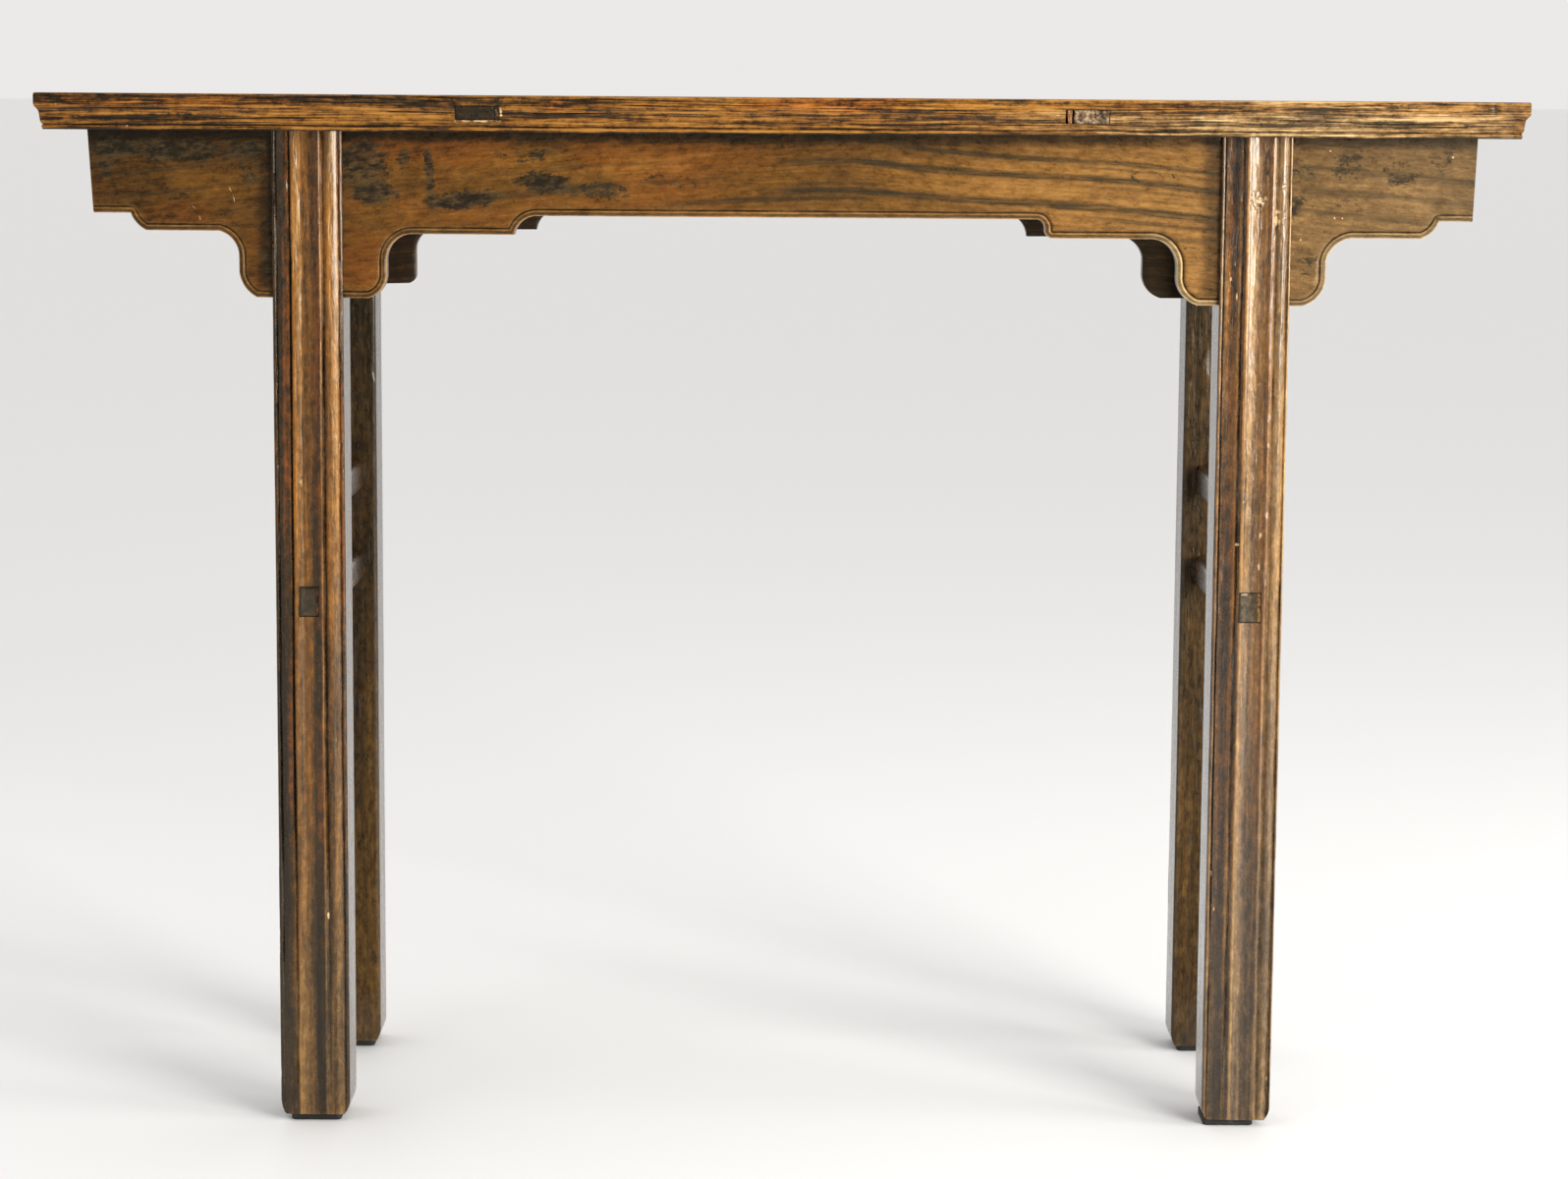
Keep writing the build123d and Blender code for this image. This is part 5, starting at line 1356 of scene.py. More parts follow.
RAIL_NICKS = [
    (-594.7, 9.3, 1.6, 0.9, 0.5, 1.0), (-503, 23.3, 1.5, 0.8, 0.4, 0.9), (-541.7, 26.8, 1.3, 0.8, 0.4, 0.9),
    (-404.5, 22.4, 2.2, 1.3, 0.7, 0.1), (483.1, 5.2, 0.9, 6.0, 0.5, 0.55), (583.5, 5.6, 0.8, 4.6, 0.9, 0.0),
    (595.5, 6.0, 0.7, 6.5, 0.6, 0.5), (606, 26, 5.0, 3.4, 1.6, 0.45), (609, 10, 2.2, 5.0, 0.8, 0.3),
    (225.5, 13, 5.5, 0.8, 0.25, 0.75), (393.3, 27.4, 1.2, 3.0, 1.4, 0.1), (-110, 0.8, 4, 2, 0.5, 0.2),
    (300, 0.8, 5, 2, 0.4, 0.2), (-350, 0.7, 7, 2, 0.5, 0.1), (120, 28.4, 5, 1.5, 0.7, 0.2), (-230, 28, 4, 1.6, 0.6, 0.2),
    (-611, 27, 2.4, 3, 0.8, 0.2)]
RAIL_CRACKS = [(-230, 14.4, 200, 0.55), (318, 15.2, 60, 0.6), (510, 18.5, 90, 0.5), (-480, 19.8, 210, 0.5),
               (200, 21.2, 300, 0.45), (440, 21.0, 260, 0.4), (-60, 7.2, 150, 0.3), (110, 8.9, 170, 0.35),
               (-330, 6.0, 150, 0.35), (555, 9.6, 90, 0.5), (-560, 12.2, 120, 0.45)]

TOP_LOOK = dict(black=(24, 16, 10), deep=(56, 34, 14), mid=(108, 67, 22), gold=(138, 91, 32), pale=(156, 110, 50),
                olive=(36, 28, 17), contrast=0.95, fine=0.9, mottling=1.2, patches=0.05, rough=0.33, streak=-0.02,
                coat=0.2, across=2.1, along=2.6, ripple=0.5, linear=0.5, pore_k=0.4, dull=0.22)
rail_f = elm("elm_top_rail_front", seed=0.11, **TOP_LOOK)
rail_r = elm("elm_top_rail_rear", seed=0.53, **TOP_LOOK)
ends_l = elm("elm_top_end_left", seed=0.91, **TOP_LOOK)
ends_r = elm("elm_top_end_right", seed=1.37, **TOP_LOOK)

BRACE_HOLES = [(-268.25, -231.75, 8.5, 20.2), (231.75, 268.25, 8.5, 20.2)]
END_HOLES = [(-150.0, -115.0, 10.0, 22.0), (115.0, 150.0, 10.0, 22.0)]


def plug(b, outer, inner, sy, z0, z1, y_out, y_in, recess, seed, box=(0, 0, 1, 1), nu=22, nw=12, rag=0.35, axis=1, **values):
    """A block filling a mortise: outer and inner are (x0, x1) at its two ends.
    y_out(x, z) is where its outer end lies."""
    us = np.concatenate([[0, 0.012], np.linspace(0.04, 0.96, nu), [0.988, 1]])
    ws = np.concatenate([[0, 0.03], np.linspace(0.09, 0.91, nw), [0.97, 1]])
    vs = np.array([0, 0.012, 0.05, 0.3, 0.65, 1.0])

    def shape(q):
        u, v, w = q[:, 0], q[:, 1], q[:, 2]
        x = (outer[0] * (1 - u) + outer[1] * u) * (1 - v) + (inner[0] * (1 - u) + inner[1] * u) * v
        z = z0 + (z1 - z0) * w
        side = np.maximum(smooth(0.06, 0.0, u), smooth(0.94, 1.0, u))
        ends = np.maximum(smooth(0.10, 0.0, w), smooth(0.90, 1.0, w))
        ragged = rag * (0.6 + 0.6 * fbm(x * 0.45, z * 0.45, 0, seed, 3)) + 0.45 * np.maximum(side, ends)
        y = (y_out(x, z) - recess - np.abs(ragged)) * (1 - v) + y_in * v
        out = [x, sy * y, z]
        if axis == 0:
            out = [sy * y, x, z]
        return np.stack(out, 1)

    def vals(q):
        pt = shape(q)
        x, z = (pt[:, 0], pt[:, 2]) if axis == 1 else (pt[:, 1], pt[:, 2])
        along = pt[:, 1] if axis == 1 else pt[:, 0]
        kw = dict(values)
        kw["grain"] = np.stack([along * 0.6, x * 1.0, z * 1.0], -1)
        kw["cav"] = 0.9 * np.maximum(np.maximum(smooth(0.05, 0.0, q[:, 0]), smooth(0.95, 1.0, q[:, 0])),
                                     np.maximum(smooth(0.08, 0.0, q[:, 2]), smooth(0.92, 1.0, q[:, 2])))
        return kw
    return box_grid(b, us, vs, ws, shape=shape, values=vals, box=box)


def long_edge(x, z):
    return HD - edge_inward(TOP - z)


def short_edge(y, z):
    return HL - edge_inward(TOP - z)


# ------------------------------------------------------------------ frame
RAIL_BUILDS = (
    ("top_rail_front", -1, 11, rail_f, RAIL_CRACKS, RAIL_NICKS, paint_front_edge),
    ("top_rail_rear", 1, 12, rail_r, [(-300, 12, 200, 0.5), (150, 16, 260, 0.5), (420, 8, 120, 0.4)],
     [(-200, 1, 5, 2, 0.6, 0.3), (330, 26, 5, 3, 1.0, 0.3), (60, 12, 3, 2, 0.5, 0.5), (603, 20, 5, 5, 1.0, 0.4)],
     paint_side_edge(41)),
)
for name, sy, seed, mat, cracks, nicks, paint in RAIL_BUILDS:
    b = frame_member(name, 0, sy, HL, seed, mat, holes=BRACE_HOLES, cracks=cracks, nicks=nicks, paint=paint)
    # corner tenons through the end members
    for sx in (-1, 1):
        plug(b, (sy * 115.3, sy * 149.7), (sy * 115.3, sy * 149.7), sx, 848.3, 859.7, short_edge, 540.0, 0.15, seed + 7 * sx + 9,
             box=(0.96, 0.4 + 0.05 * sx, 1.0, 0.44 + 0.05 * sx), axis=0, dark=0.45, bare=0.25)
    b.object(name, mat, [name], sharp=55)
for side, sx, mat, seed in (("left", -1, ends_l, 13), ("right", 1, ends_r, 14)):
    frame_member("top_end_" + side, 1, sx, HD, seed, mat, holes=END_HOLES,
                 cracks=[(-30, 14, 120, 0.5), (60, 8, 90, 0.35)],
                 nicks=[(20, 1, 4, 2, 0.6, 0.3), (-90, 24, 4, 3, 0.9, 0.3), (172, 26, 4, 3, 0.8, 0.4)],
                 paint=paint_side_edge(50 + seed)).object("top_end_" + side, mat, ["top_end_" + side], sharp=55)


# ------------------------------------------------------------------ panel
def make_board(name, y0, y1, seed, material):
    b = Build()
    xo = 527.0
    go = rounded((-xo, y0, 861.6), (xo, y1, 869.95), (0.7, 0.7, 0.7))

    def shape(q):
        q = go(q)
        up = smooth(866, 869.5, q[:, 2])
        q[:, 2] -= up * (0.12 + 0.12 * fbm(q[:, 0] * 0.006, q[:, 1] * 0.03, 0, seed, 2)
                         + 0.10 * smooth(0.2, 0.9, fbm(q[:, 0] * 0.012, q[:, 1] * 0.28, 0, seed + 2, 3)))
        return q

    def vals(q):
        pt = shape(q.copy())
        x, y, z = pt.T
        edge = np.minimum(np.minimum(xo - np.abs(x), y - y0), y1 - y)
        up = (z > 865).astype(float)
        # rings run to a long peak
        mid = (y0 + y1) / 2 + 12 * np.sin(x * 0.004 + seed)
        slope = np.sqrt((y - mid) ** 2 + 160 + (0.03 * (x + 140)) ** 2) * np.sign(y - mid + 0.001)
        return dict(cav=up * (0.6 * smooth(1.2, 0.3, edge) - 0.5 * np.exp(-((edge - 1.4) / 0.8) ** 2)),
                    bare=1 - up, light=0.02 * up, dark=up * 0.35 * smooth(0.0, 0.8, fbm(x * 0.01, y * 0.02, 0, seed + 4, 3)),
                    grain=np.stack([x, slope, y * 0.6 + 300 * seed], -1))
    box_grid(b, even(-xo, xo, 4.4), even(y0, y1, 2.4), [861.6, 862.2, 865.0, 868.6, 869.3, 869.95],
             shape=shape, values=vals)
    # tongues in the frame's groove
    out = y0 if abs(y0) > abs(y1) else y1
    sg = -1 if out < 0 else 1
    box_grid(b, [-534.5, -300, 0, 300, 534.5], sorted([out - sg * 4, sg * 100.0]), [861.8, 866.2],
             values=lambda q: dict(bare=1.0), box=(0.0, 0.0, 0.02, 0.001))
    for sx in (-1, 1):
        box_grid(b, sorted([sx * 520.0, sx * 534.5]), [y0 + 3, y1 - 3], [861.8, 866.2],
                 values=lambda q: dict(bare=1.0), box=(0.03, 0.0, 0.05, 0.001))
    return b.object(name, material, [name], sharp=50)


BOARD_LOOK = dict(TOP_LOOK, contrast=0.5, fine=0.6, mottling=0.8, patches=0.2, across=0.8, along=1.2, coat=0.0, spec=0.14)
make_board("top_board_front", -91.8, -9.25, 21, elm("elm_board_front", seed=2.1, **BOARD_LOOK))
make_board("top_board_rear", -8.75, 91.8, 22, elm("elm_board_rear", seed=2.9, **BOARD_LOOK))

# ------------------------------------------------------------------ braces
BARE = dict(olive=(34, 25, 16), black=(18, 14, 11), deep=(42, 30, 20), mid=(72, 52, 33), gold=(106, 80, 52), pale=(150, 120, 86),
            contrast=0.9, patches=0.2, rough=0.62, bump=1.6, coat=0.0)
bare_a = elm("elm_bare", seed=3.3, **BARE)
end_grain_l = elm("elm_tenon_left", seed=4.1, **dict(BARE, mid=(36, 27, 18), gold=(58, 44, 30), pale=(104, 82, 56), rough=0.5))
end_grain_r = elm("elm_tenon_right", seed=4.7, **dict(BARE, deep=(66, 52, 40), mid=(100, 80, 60), gold=(136, 112, 86),
                                                      pale=(186, 160, 126), rough=0.5, bump=2.4))
for side, sx, mat, wide, thin, tone in (("left", -1, end_grain_l, 3.4, 1.4, -0.30), ("right", 1, end_grain_r, 6.5, 2.0, 0.04)):
    b = Build()
    x = sx * 250.0
    go = rounded((x - 21.9, -92.2, 843.2), (x + 21.9, 92.2, 861.3), (1.6, 0.3, 1.6))
    box_grid(b, even(x - 21.9, x + 21.9, 4.0, 1.6), rows(-92.2, 92.2, 4.0), even(843.2, 861.3, 3.0, 1.6),
             shape=lambda q, go=go: go(q) + np.stack([0.15 * vnoise(q[:, 1] * 0.05, q[:, 2] * 0.2, 0, 61), 0 * q[:, 0],
                                                      0.0 * q[:, 2]], 1) * (np.abs(q[:, :1] - x) < 20),
             values=lambda q: dict(bare=0.9, grain=np.stack([q[:, 1], q[:, 0], q[:, 2]], -1)), box=(0, 0, 1, 0.5))
    # dovetail rib up in the panel
    box_grid(b, [-1, 1], [-91.0, 91.0], [0, 1],
             shape=lambda q: np.stack([x + q[:, 0] * (12.9 + 2 * q[:, 2]), q[:, 1], 861.0 + 2.9 * q[:, 2]], 1),
             values=lambda q: dict(bare=1.0), box=(0.9, 0.51, 0.94, 0.53))
    for sy in (-1, 1):
        near = sx * (250.0 - 18.25)
        far = sx * (250.0 + 18.25 - 0.2)
        plug(b, (near + sx * (wide + 0.25), far), (near + sx * (thin + 0.25), far), sy, 849.95, 861.3, long_edge, 90.0,
             0.55 if sx < 0 else 0.2, 70 + sx + sy, box=(0.0, 0.55 + 0.1 * sy, 0.6, 0.63 + 0.1 * sy), light=tone, bare=0.0,
             nu=34, nw=16, dark=0.5 if sx < 0 else 0.1)
    b.object("brace_" + side, mat, ["brace_" + side], slot="bare_elm", sharp=45)

b = Build()
for k, (sx, wide, thin) in enumerate(((-1, 3.4, 1.4), (1, 6.5, 2.0))):
    for sy in (-1, 1):
        near = sx * 231.75
        # the right-hand wedge was driven at a slant
        lean = 2.6 if sx > 0 else 0.0
        ids = plug(b, (near + sx * 0.15, near + sx * wide), (near + sx * 0.15, near + sx * thin), sy, 849.9, 861.4,
                   long_edge, HD - 34, 0.3 if sx > 0 else 0.7, 80 + sx + 2 * sy,
                   box=(0.25 * (2 * k + (sy > 0)), 0, 0.25 * (2 * k + (sy > 0)) + 0.24, 1), nu=8, nw=12, rag=0.2,
                   light=0.06 if sx > 0 else -0.40, dark=0.0 if sx > 0 else 0.9, warm=0.3 if sx > 0 else 0.0)
        if lean:
            # its foot is wide and its head thin, which leaves a dark slit
            co = b.co[-1]
            w = (co[:, 2] - 849.9) / 11.5
            t = (co[:, 0] - near) / wide
            co[:, 0] = near + (t * (wide - 1.2) + (1 - t) * (2.2 * (1 - w) * 0.6 + 0.9))
b.object("brace_wedges", elm("elm_wedge", seed=5.2, **dict(BARE, deep=(74, 54, 36), mid=(116, 88, 58), gold=(150, 118, 80),
                                                          pale=(190, 158, 116), rough=0.5)),
         ["brace_wedges"], slot="bare_elm", sharp=45)


# ------------------------------------------------------------------ legs
def leg_paint(kind, seed):
    def go(S, T, Z, front):
        wob = 0.8 * vnoise(Z * 0.007, 0, 0, seed) + 0.35 * vnoise(Z * 0.03, 0, 0, seed + 1)
        s = S + wob
        long1 = 0.5 + 0.5 * fbm(Z * 0.006, s * 0.10, 0, seed + 2, 3)
        patchy = smooth(-0.15, 0.35, fbm(Z * 0.012, s * 0.16, 0, seed + 3, 3))

        def strip(a, c, soft=0.9):
            return smooth(a - soft, a + soft, s) * smooth(c + soft, c - soft, s)
        side = 1 - front
        up = smooth(560, 760, Z)
        if kind == "left":
            # left front leg: dark strips, partly old dark lacquer and partly painted shade on the left-facing band and
            # slopes
            dark = front * (0.75 * strip(-27.5, -21.5) * (0.35 + 0.65 * patchy) + 0.25 * strip(0.0, 5.5) * patchy
                            + 0.45 * strip(-21, -15.5) * patchy + 0.28 * strip(5.6, 9.2) * (0.4 + 0.6 * patchy)
                            + 0.25 * strip(25.6, 29.6) * patchy)
            # painted highlights on the right-facing slopes, S -13.8 to 2.6 and 19.5 to 25, and painted shade on the
            # left-facing band at the left edge and on the slope at S 2 to 9
            light = front * (-0.20 * strip(-29.6, -27.4) - 0.20 * strip(-27.4, -21.5) - 0.08 * strip(-21, -15)
                             + 0.14 * strip(-13.8, -4.6) + 0.08 * strip(-4.6, 2.6)
                             - 0.07 * strip(2.0, 9.0) + 0.12 * strip(11.6, 19.0) * patchy
                             + 0.15 * strip(19.5, 25) - 0.06 * strip(25.4, 28.6))
            # redder strips; the negative terms pale the painted highlight strips towards cream, more at the top
            warm = front * (0.45 * strip(-22, -15) + 0.5 * strip(-29.6, -27) + 0.5 * strip(4.5, 9.8) + 0.5 * strip(25.4, 29.6)
                            + 0.12 * strip(-14, 2.6) * long1 + 0.15 * strip(11, 25) * (1 - long1)
                            - 0.30 * strip(-10.5, -4.8) * (0.5 + 0.5 * up) - 0.4 * strip(19.0, 25.0) * (0.5 + 0.5 * up) - 0.4 * strip(9.8, 11.4))
        elif kind == "right":
            dark = front * (0.25 * strip(-20.4, -14.6) * patchy + 0.7 * strip(-12.2, -9.4)
                            + 0.35 * strip(2, 9.6) * patchy
                            + 0.7 * blobs(S, Z, [(-19, 716, 7, 34, 0, 1.0)]))
            # painted highlights: a broad one at S -8.6 to 1, one on the ridge at S 10 to 16 and a pale band over the
            # right-facing outer round from S 17; the left-facing cove at S -20 to -15 is painted darker as shade
            light = front * (-0.09 * strip(-20.4, -14.6) + 0.05 * strip(-24, -13) - 0.14 * strip(11.4, 13.6) + 0.02 * strip(-29.6, -24.6) + 0.18 * strip(-8.6, 1.0)
                             + 0.06 * strip(1, 10) + 0.10 * strip(10.4, 16) + 0.16 * strip(17, 29.6))
            # redder strips; the negative terms grey the whole face and grey the painted highlight strips towards white
            warm = front * (0.25 * strip(9.6, 14.0) + 0.25 * strip(-12.8, -8.4) + 0.42 * strip(-23, -13.6) * (0.5 + 0.5 * patchy)
                            - 0.22 - 0.30 * strip(-7.0, 2.0) - 0.40 * strip(16, 31) - 0.3 * strip(-31, -24.6) * up)
        else:
            # rear legs: painted shade over the whole face, darkest under the top and lighter towards the foot; the
            # sides of the face are a little less dark
            rim = smooth(14, 26, np.abs(s)) if kind == "rear" else 0.0
            dark = (0.95 - 0.4 * smooth(500, 200, Z)) * patchy + 0.30 * up - 0.4 * rim
            light = -0.15 - 0.16 * up + 0.08 * long1 + 0.05 * rim + (0.17 if seed < 140 else 0.03) * smooth(500, 200, Z) + (0.0 if seed < 140 else 0.08) * up
            warm = 0.0 * S
            return dark, warm, light
        low = smooth(330, 40, Z)
        light = light + front * (0.10 * (long1 - 0.5) - 0.05 * smooth(560, 300, Z) - (0.08 if kind == "right" else 0.0) * low)
        light = light - side * 0.08
        dark = dark + side * 0.35 * patchy + front * 0.18 * smooth(0.5, 0.9, long1)
        light = light - (0.02 if kind == "right" else 0.0) * front * up
        warm = warm * (1 - 0.7 * low) - front * (0.62 if kind == "right" else 0.48) * low
        dark = dark * (1 - 0.55 * low)
        return dark, warm, light
    return go


LEG_LOOK = dict(olive=(38, 27, 14), contrast=0.28, fine=0.26, mottling=0.65, broadness=1.6, patches=0.15, rough=0.25, coat=0.6,
                across=0.6, along=0.8, clouds=0.35, film=0.15, wear=0.7, grime=0.75, ripple=1.8, linear=0.3, spec=0.34, pore_k=0.4, coat_ior=1.4)
#        place, across, height, rx, rz, depth, pale, black
DENTS_FL = [("f", 3.7, 663.6, 2.2, 3.4, 0.8, 0.0, 1.0), ("f", 4.6, 652, 1.8, 6, 0.3, 0.0, 1.0),
            ("f", -6.2, 552, 1.8, 3.2, 0.7, 0.1, 0.7), ("f", 9.6, 510.8, 1.8, 3.0, 0.6, 0.1, 0.6),
            ("f", 12.7, 179.4, 1.1, 3.4, 0.4, 1.0, 0.0), ("f", 27, 585, 2.0, 7, 0.5, 0.6, 0.0),
            ("f", -26, 412, 2.0, 6, 0.8, 0.3, 0.4), ("f", 20.5, 330, 1.2, 5, 0.5, 0.6, 0.0),
            ("f", -17, 260, 1.5, 5, 0.5, 0.4, 0.2), ("f", 0, 96, 3.0, 5, 0.5, 0.2, 0.3),
            ("f", 24, 60, 2.5, 6, 0.8, 0.6, 0.0), ("f", -22, 28, 3.0, 6, 1.0, 0.5, 0.0), ("f", 8, 13, 5, 3, 0.8, 0.4, 0.0),
            ("f", -4, 780, 1.2, 8, 0.3, 0.3, 0.3), ("b", 5, 300, 4, 10, 0.7, 0.3, 0.3)]
DENTS_FR = [("f", 7.5, 728, 1.8, 2.6, 0.8, 0.2, 0.8), ("f", 10.5, 617.8, 1.6, 3.0, 0.8, 0.1, 0.8),
            ("f", 14.6, 476, 2.2, 12, 0.6, 0.3, 0.5), ("f", 15.5, 758, 1.2, 4, 0.6, 0.8, 0.0), ("f", 14.8, 744, 1.0, 6, 0.6, 0.7, 0.0),
            ("f", 22.5, 800, 1.4, 5, 0.6, 0.8, 0.0), ("f", 23.5, 776, 1.2, 7, 0.6, 0.8, 0.0), ("f", 21.5, 753, 1.0, 4, 0.5, 0.7, 0.0),
            ("f", 25.5, 790, 1.0, 5, 0.5, 0.7, 0.2), ("f", 10, 598, 1.0, 14, 0.4, 0.5, 0.2), ("f", 9.5, 508, 1.6, 6, 0.6, 0.6, 0.3),
            ("f", -10, 502, 2.4, 2.2, 0.5, 0.9, 0.0), ("f", 8.5, 482, 1.4, 4, 0.5, 0.8, 0.0), ("f", -13, 790, 1.0, 5, 0.4, 0.6, 0.0),
            ("f", -17, 736, 1.0, 9, 0.3, 0.9, 0.0), ("f", -20, 722, 0.9, 7, 0.3, 0.9, 0.0), ("f", -15, 708, 0.9, 6, 0.3, 0.8, 0.0),
            ("f", -21, 690, 0.8, 7, 0.3, 0.7, 0.0), ("f", 16, 806, 1.2, 4, 0.6, 0.8, 0.0), ("f", 16.4, 772, 1.0, 5, 0.5, 0.8, 0.0),
            ("f", 20, 640, 1.0, 5, 0.4, 0.6, 0.2), ("f", -5, 350, 1.3, 8, 0.4, 0.6, 0.0), ("f", 22, 300, 1.5, 7, 0.6, 0.5, 0.0),
            ("f", -25, 220, 1.5, 6, 0.7, 0.7, 0.0), ("f", -22, 190, 1.2, 5, 0.6, 0.7, 0.0), ("f", 5, 150, 1.2, 4, 0.5, 0.5, 0.3),
            ("f", 27, 70, 3.0, 9, 1.2, 0.4, 0.2), ("f", 27.5, 40, 3.0, 8, 1.6, 0.4, 0.2), ("f", 24, 14, 4.0, 5, 1.2, 0.5, 0.0),
            ("f", 10, 60, 1.6, 6, 0.5, 0.6, 0.0), ("b", -5, 240, 4, 9, 0.7, 0.3, 0.3)]
DENTS_R = [("b", -20, 620, 3, 10, 0.7, 0.2, 0.5), ("b", -12, 200, 2, 8, 0.6, 0.5, 0.1), ("b", 18, 90, 3, 6, 0.8, 0.5, 0.0),
           ("f", 10, 400, 3, 9, 0.7, 0.3, 0.3), ("b", -22, 30, 4, 6, 1.0, 0.5, 0.0), ("b", 0, 12, 6, 4, 0.8, 0.4, 0.0)]
make_leg("leg_front_left", -1, -1, 702.0, 101, elm("elm_leg_front_left", seed=6.1, streak=-0.10, **dict(LEG_LOOK, coat=0.5)),
         dents=DENTS_FL, paint=leg_paint("left", 111))
make_leg("leg_front_right", 1, -1, 700.5, 102,
         elm("elm_leg_front_right", seed=6.9, streak=-0.07, **dict(LEG_LOOK, tint=(1.0, 0.95, 0.86), spec=0.42)),
         dents=DENTS_FR, paint=leg_paint("right", 121), crackle=[(2.5, 788.5, 8.0, 10.0, 0.55), (17.5, 772, 3.0, 12.0, 0.35)])
# a darker copy of the leg finish for the rear legs, as painted shade
REAR_SHADED_LOOK = dict(LEG_LOOK, deep=(34, 24, 13), mid=(60, 42, 20), gold=(92, 66, 31), pale=(130, 100, 60),
                 patches=0.4, rough=0.32, spec=0.22, clouds=0.8, mottling=0.9, contrast=0.2)
make_leg("leg_rear_left", -1, 1, 698.5, 103, elm("elm_leg_rear_left", seed=7.7, streak=-0.04, **REAR_SHADED_LOOK),
         dents=DENTS_R, paint=leg_paint("rear", 131))
make_leg("leg_rear_right", 1, 1, 692.4, 104, elm("elm_leg_rear_right", seed=8.3, streak=0.04, **REAR_SHADED_LOOK),
         dents=DENTS_R, paint=leg_paint("rear", 141))


# ------------------------------------------------------------------ aprons
def front_apron_paint(x, z, d):
    field = smooth(6.2, 8.0, d)
    # band just under the top, which gets painted shadow
    top = smooth(829, 838, z)
    mottled = 0.5 + 0.5 * fbm(x * 0.02, z * 0.03, 0, 211, 4)
    dark = field * blobs(x, z, [
        (-560, 815, 20, 22, 0, 0.6), (-525, 826, 40, 10, 0, 0.7), (-480, 822, 50, 9, 3, 0.65), (-442, 812, 14, 22, 0, 0.55),
        (-346, 812, 22, 28, 0, 0.8), (-292, 806, 4.5, 26, 3, 0.95), (-313, 818, 6, 10, 0, 0.85), (-262, 785, 36, 9, 6, 0.85),
        (-192, 797, 32, 9, -5, 1.0), (-145, 792, 20, 9, 0, 0.75), (-95, 800, 26, 6, -6, 0.55), (-215, 822, 30, 8, 0, 0.3),
        (-330, 788, 22, 10, 0, 0.5), (-310, 740, 30, 8, 0, 0.35),
        (470, 818, 16, 16, 0, 0.65), (512, 810, 22, 12, -8, 0.6), (545, 820, 12, 14, 0, 0.55), (440, 800, 10, 16, 0, 0.5),
        (470, 786, 26, 6, 0, 0.4), (-500, 786, 20, 6, 0, 0.35), (-400, 735, 40, 20, 0, 0.3),
        (429, 812, 12, 10, 0, 0.6), (426, 781, 7, 13, 0, 0.65), (435, 735, 16, 12, 0, 0.6), (340, 747, 14, 5, 0, 0.45),
        (452, 760, 10, 5, 0, 0.4)])
    dark = 1.15 * dark + 0.36 * field * smooth(0.42, 0.85, mottled) * smooth(80, -60, x)
    # D-shaped loop and slanting dashes in the grain by the right leg
    loop = np.exp(-((np.hypot((x - 303) / 13.0, (z - 806 + 0.10 * (x - 303)) / 5.2) - 1) / 0.16) ** 2) * field
    dash = np.zeros_like(x)
    for k in range(5):
        cx, cz = 322 + 4.2 * k, 811 - 1.2 * k
        dash = dash + np.exp(-(((x - cx) * 0.85 + (z - cz) * 0.5) / 0.9) ** 2) * smooth(7, 4, np.abs(z - cz)) * (z < 818)
    dark += 0.5 * loop + 0.5 * np.clip(dash, 0, 1) * field * (np.abs(x - 330) < 20)
    # brighter towards the right: partly the wood's own tone and partly painted light falling off from the right
    light = field * np.interp(x, [-575, -500, -430, -360, -250, -100, 60, 250, 350, 450, 520, 575],
                              [-0.13, -0.09, -0.06, -0.05, -0.02, -0.01, 0.01, 0.10, 0.11, 0.02, 0.02, 0.0])
    light += field * 0.10 * blobs(x, z, [(-475, 795, 24, 12, 0, 0.8), (-500, 805, 10, 16, 0, 0.5), (-230, 818, 30, 12, 0, 0.6),
                                         (-120, 815, 40, 12, -3, 0.5), (150, 800, 80, 16, -4, 0.5), (520, 792, 24, 10, 0, 0.7)])
    light -= 0.06 * loop
    light += 0.03 * field * (smooth(140, 200, x) * smooth(350, 345, x) + smooth(-360, -340, x) * smooth(-40, -80, x))
    # painted shadow under the top's overhang: the band is darkened and its stains faded out
    dark = dark * (1 - 0.8 * top)
    light -= 0.24 * top + 0.07 * smooth(815, 832, z)
    # painted shadow cast to the left of each leg
    light -= 0.16 * (smooth(-438, -428, x) * (x < -420) + smooth(346, 356, x) * (x < 366) * (x > 300)) * field
    bead = smooth(5.2, 4.6, d)
    # painted highlights along the bead's two edges and painted shade in its middle, and darker towards the left
    light += bead * np.interp(d, [0, 0.6, 1.3, 2.8, 3.5, 4.1, 4.6], [0.20, 0.16, -0.09, -0.11, 0.10, 0.12, 0.0])
    light -= bead * 0.06 * smooth(40, -300, x)
    # painted highlight along the bead at the right spandrel's inner curve
    light += bead * 0.16 * smooth(296, 318, x) * smooth(372, 352, x)
    dark += 0.35 * bead * smooth(1.0, 1.5, d) * smooth(3.4, 2.8, d)
    warm = 0.35 * field * np.interp(x, [-575, -560, -540, -300, 0, 120, 575], [1.4, 0.9, 0.8, 0.9, 0.6, 0.1, 0.2]) * np.ones_like(x)
    warm = warm * smooth(-0.3, 0.5, fbm(x * 0.02, z * 0.03, 0, 217, 3))
    warm = warm * smooth(60, -60, x) - np.interp(x, [-60, 120, 340, 430, 575], [0.0, 0.12, 0.26, 0.58, 0.72])
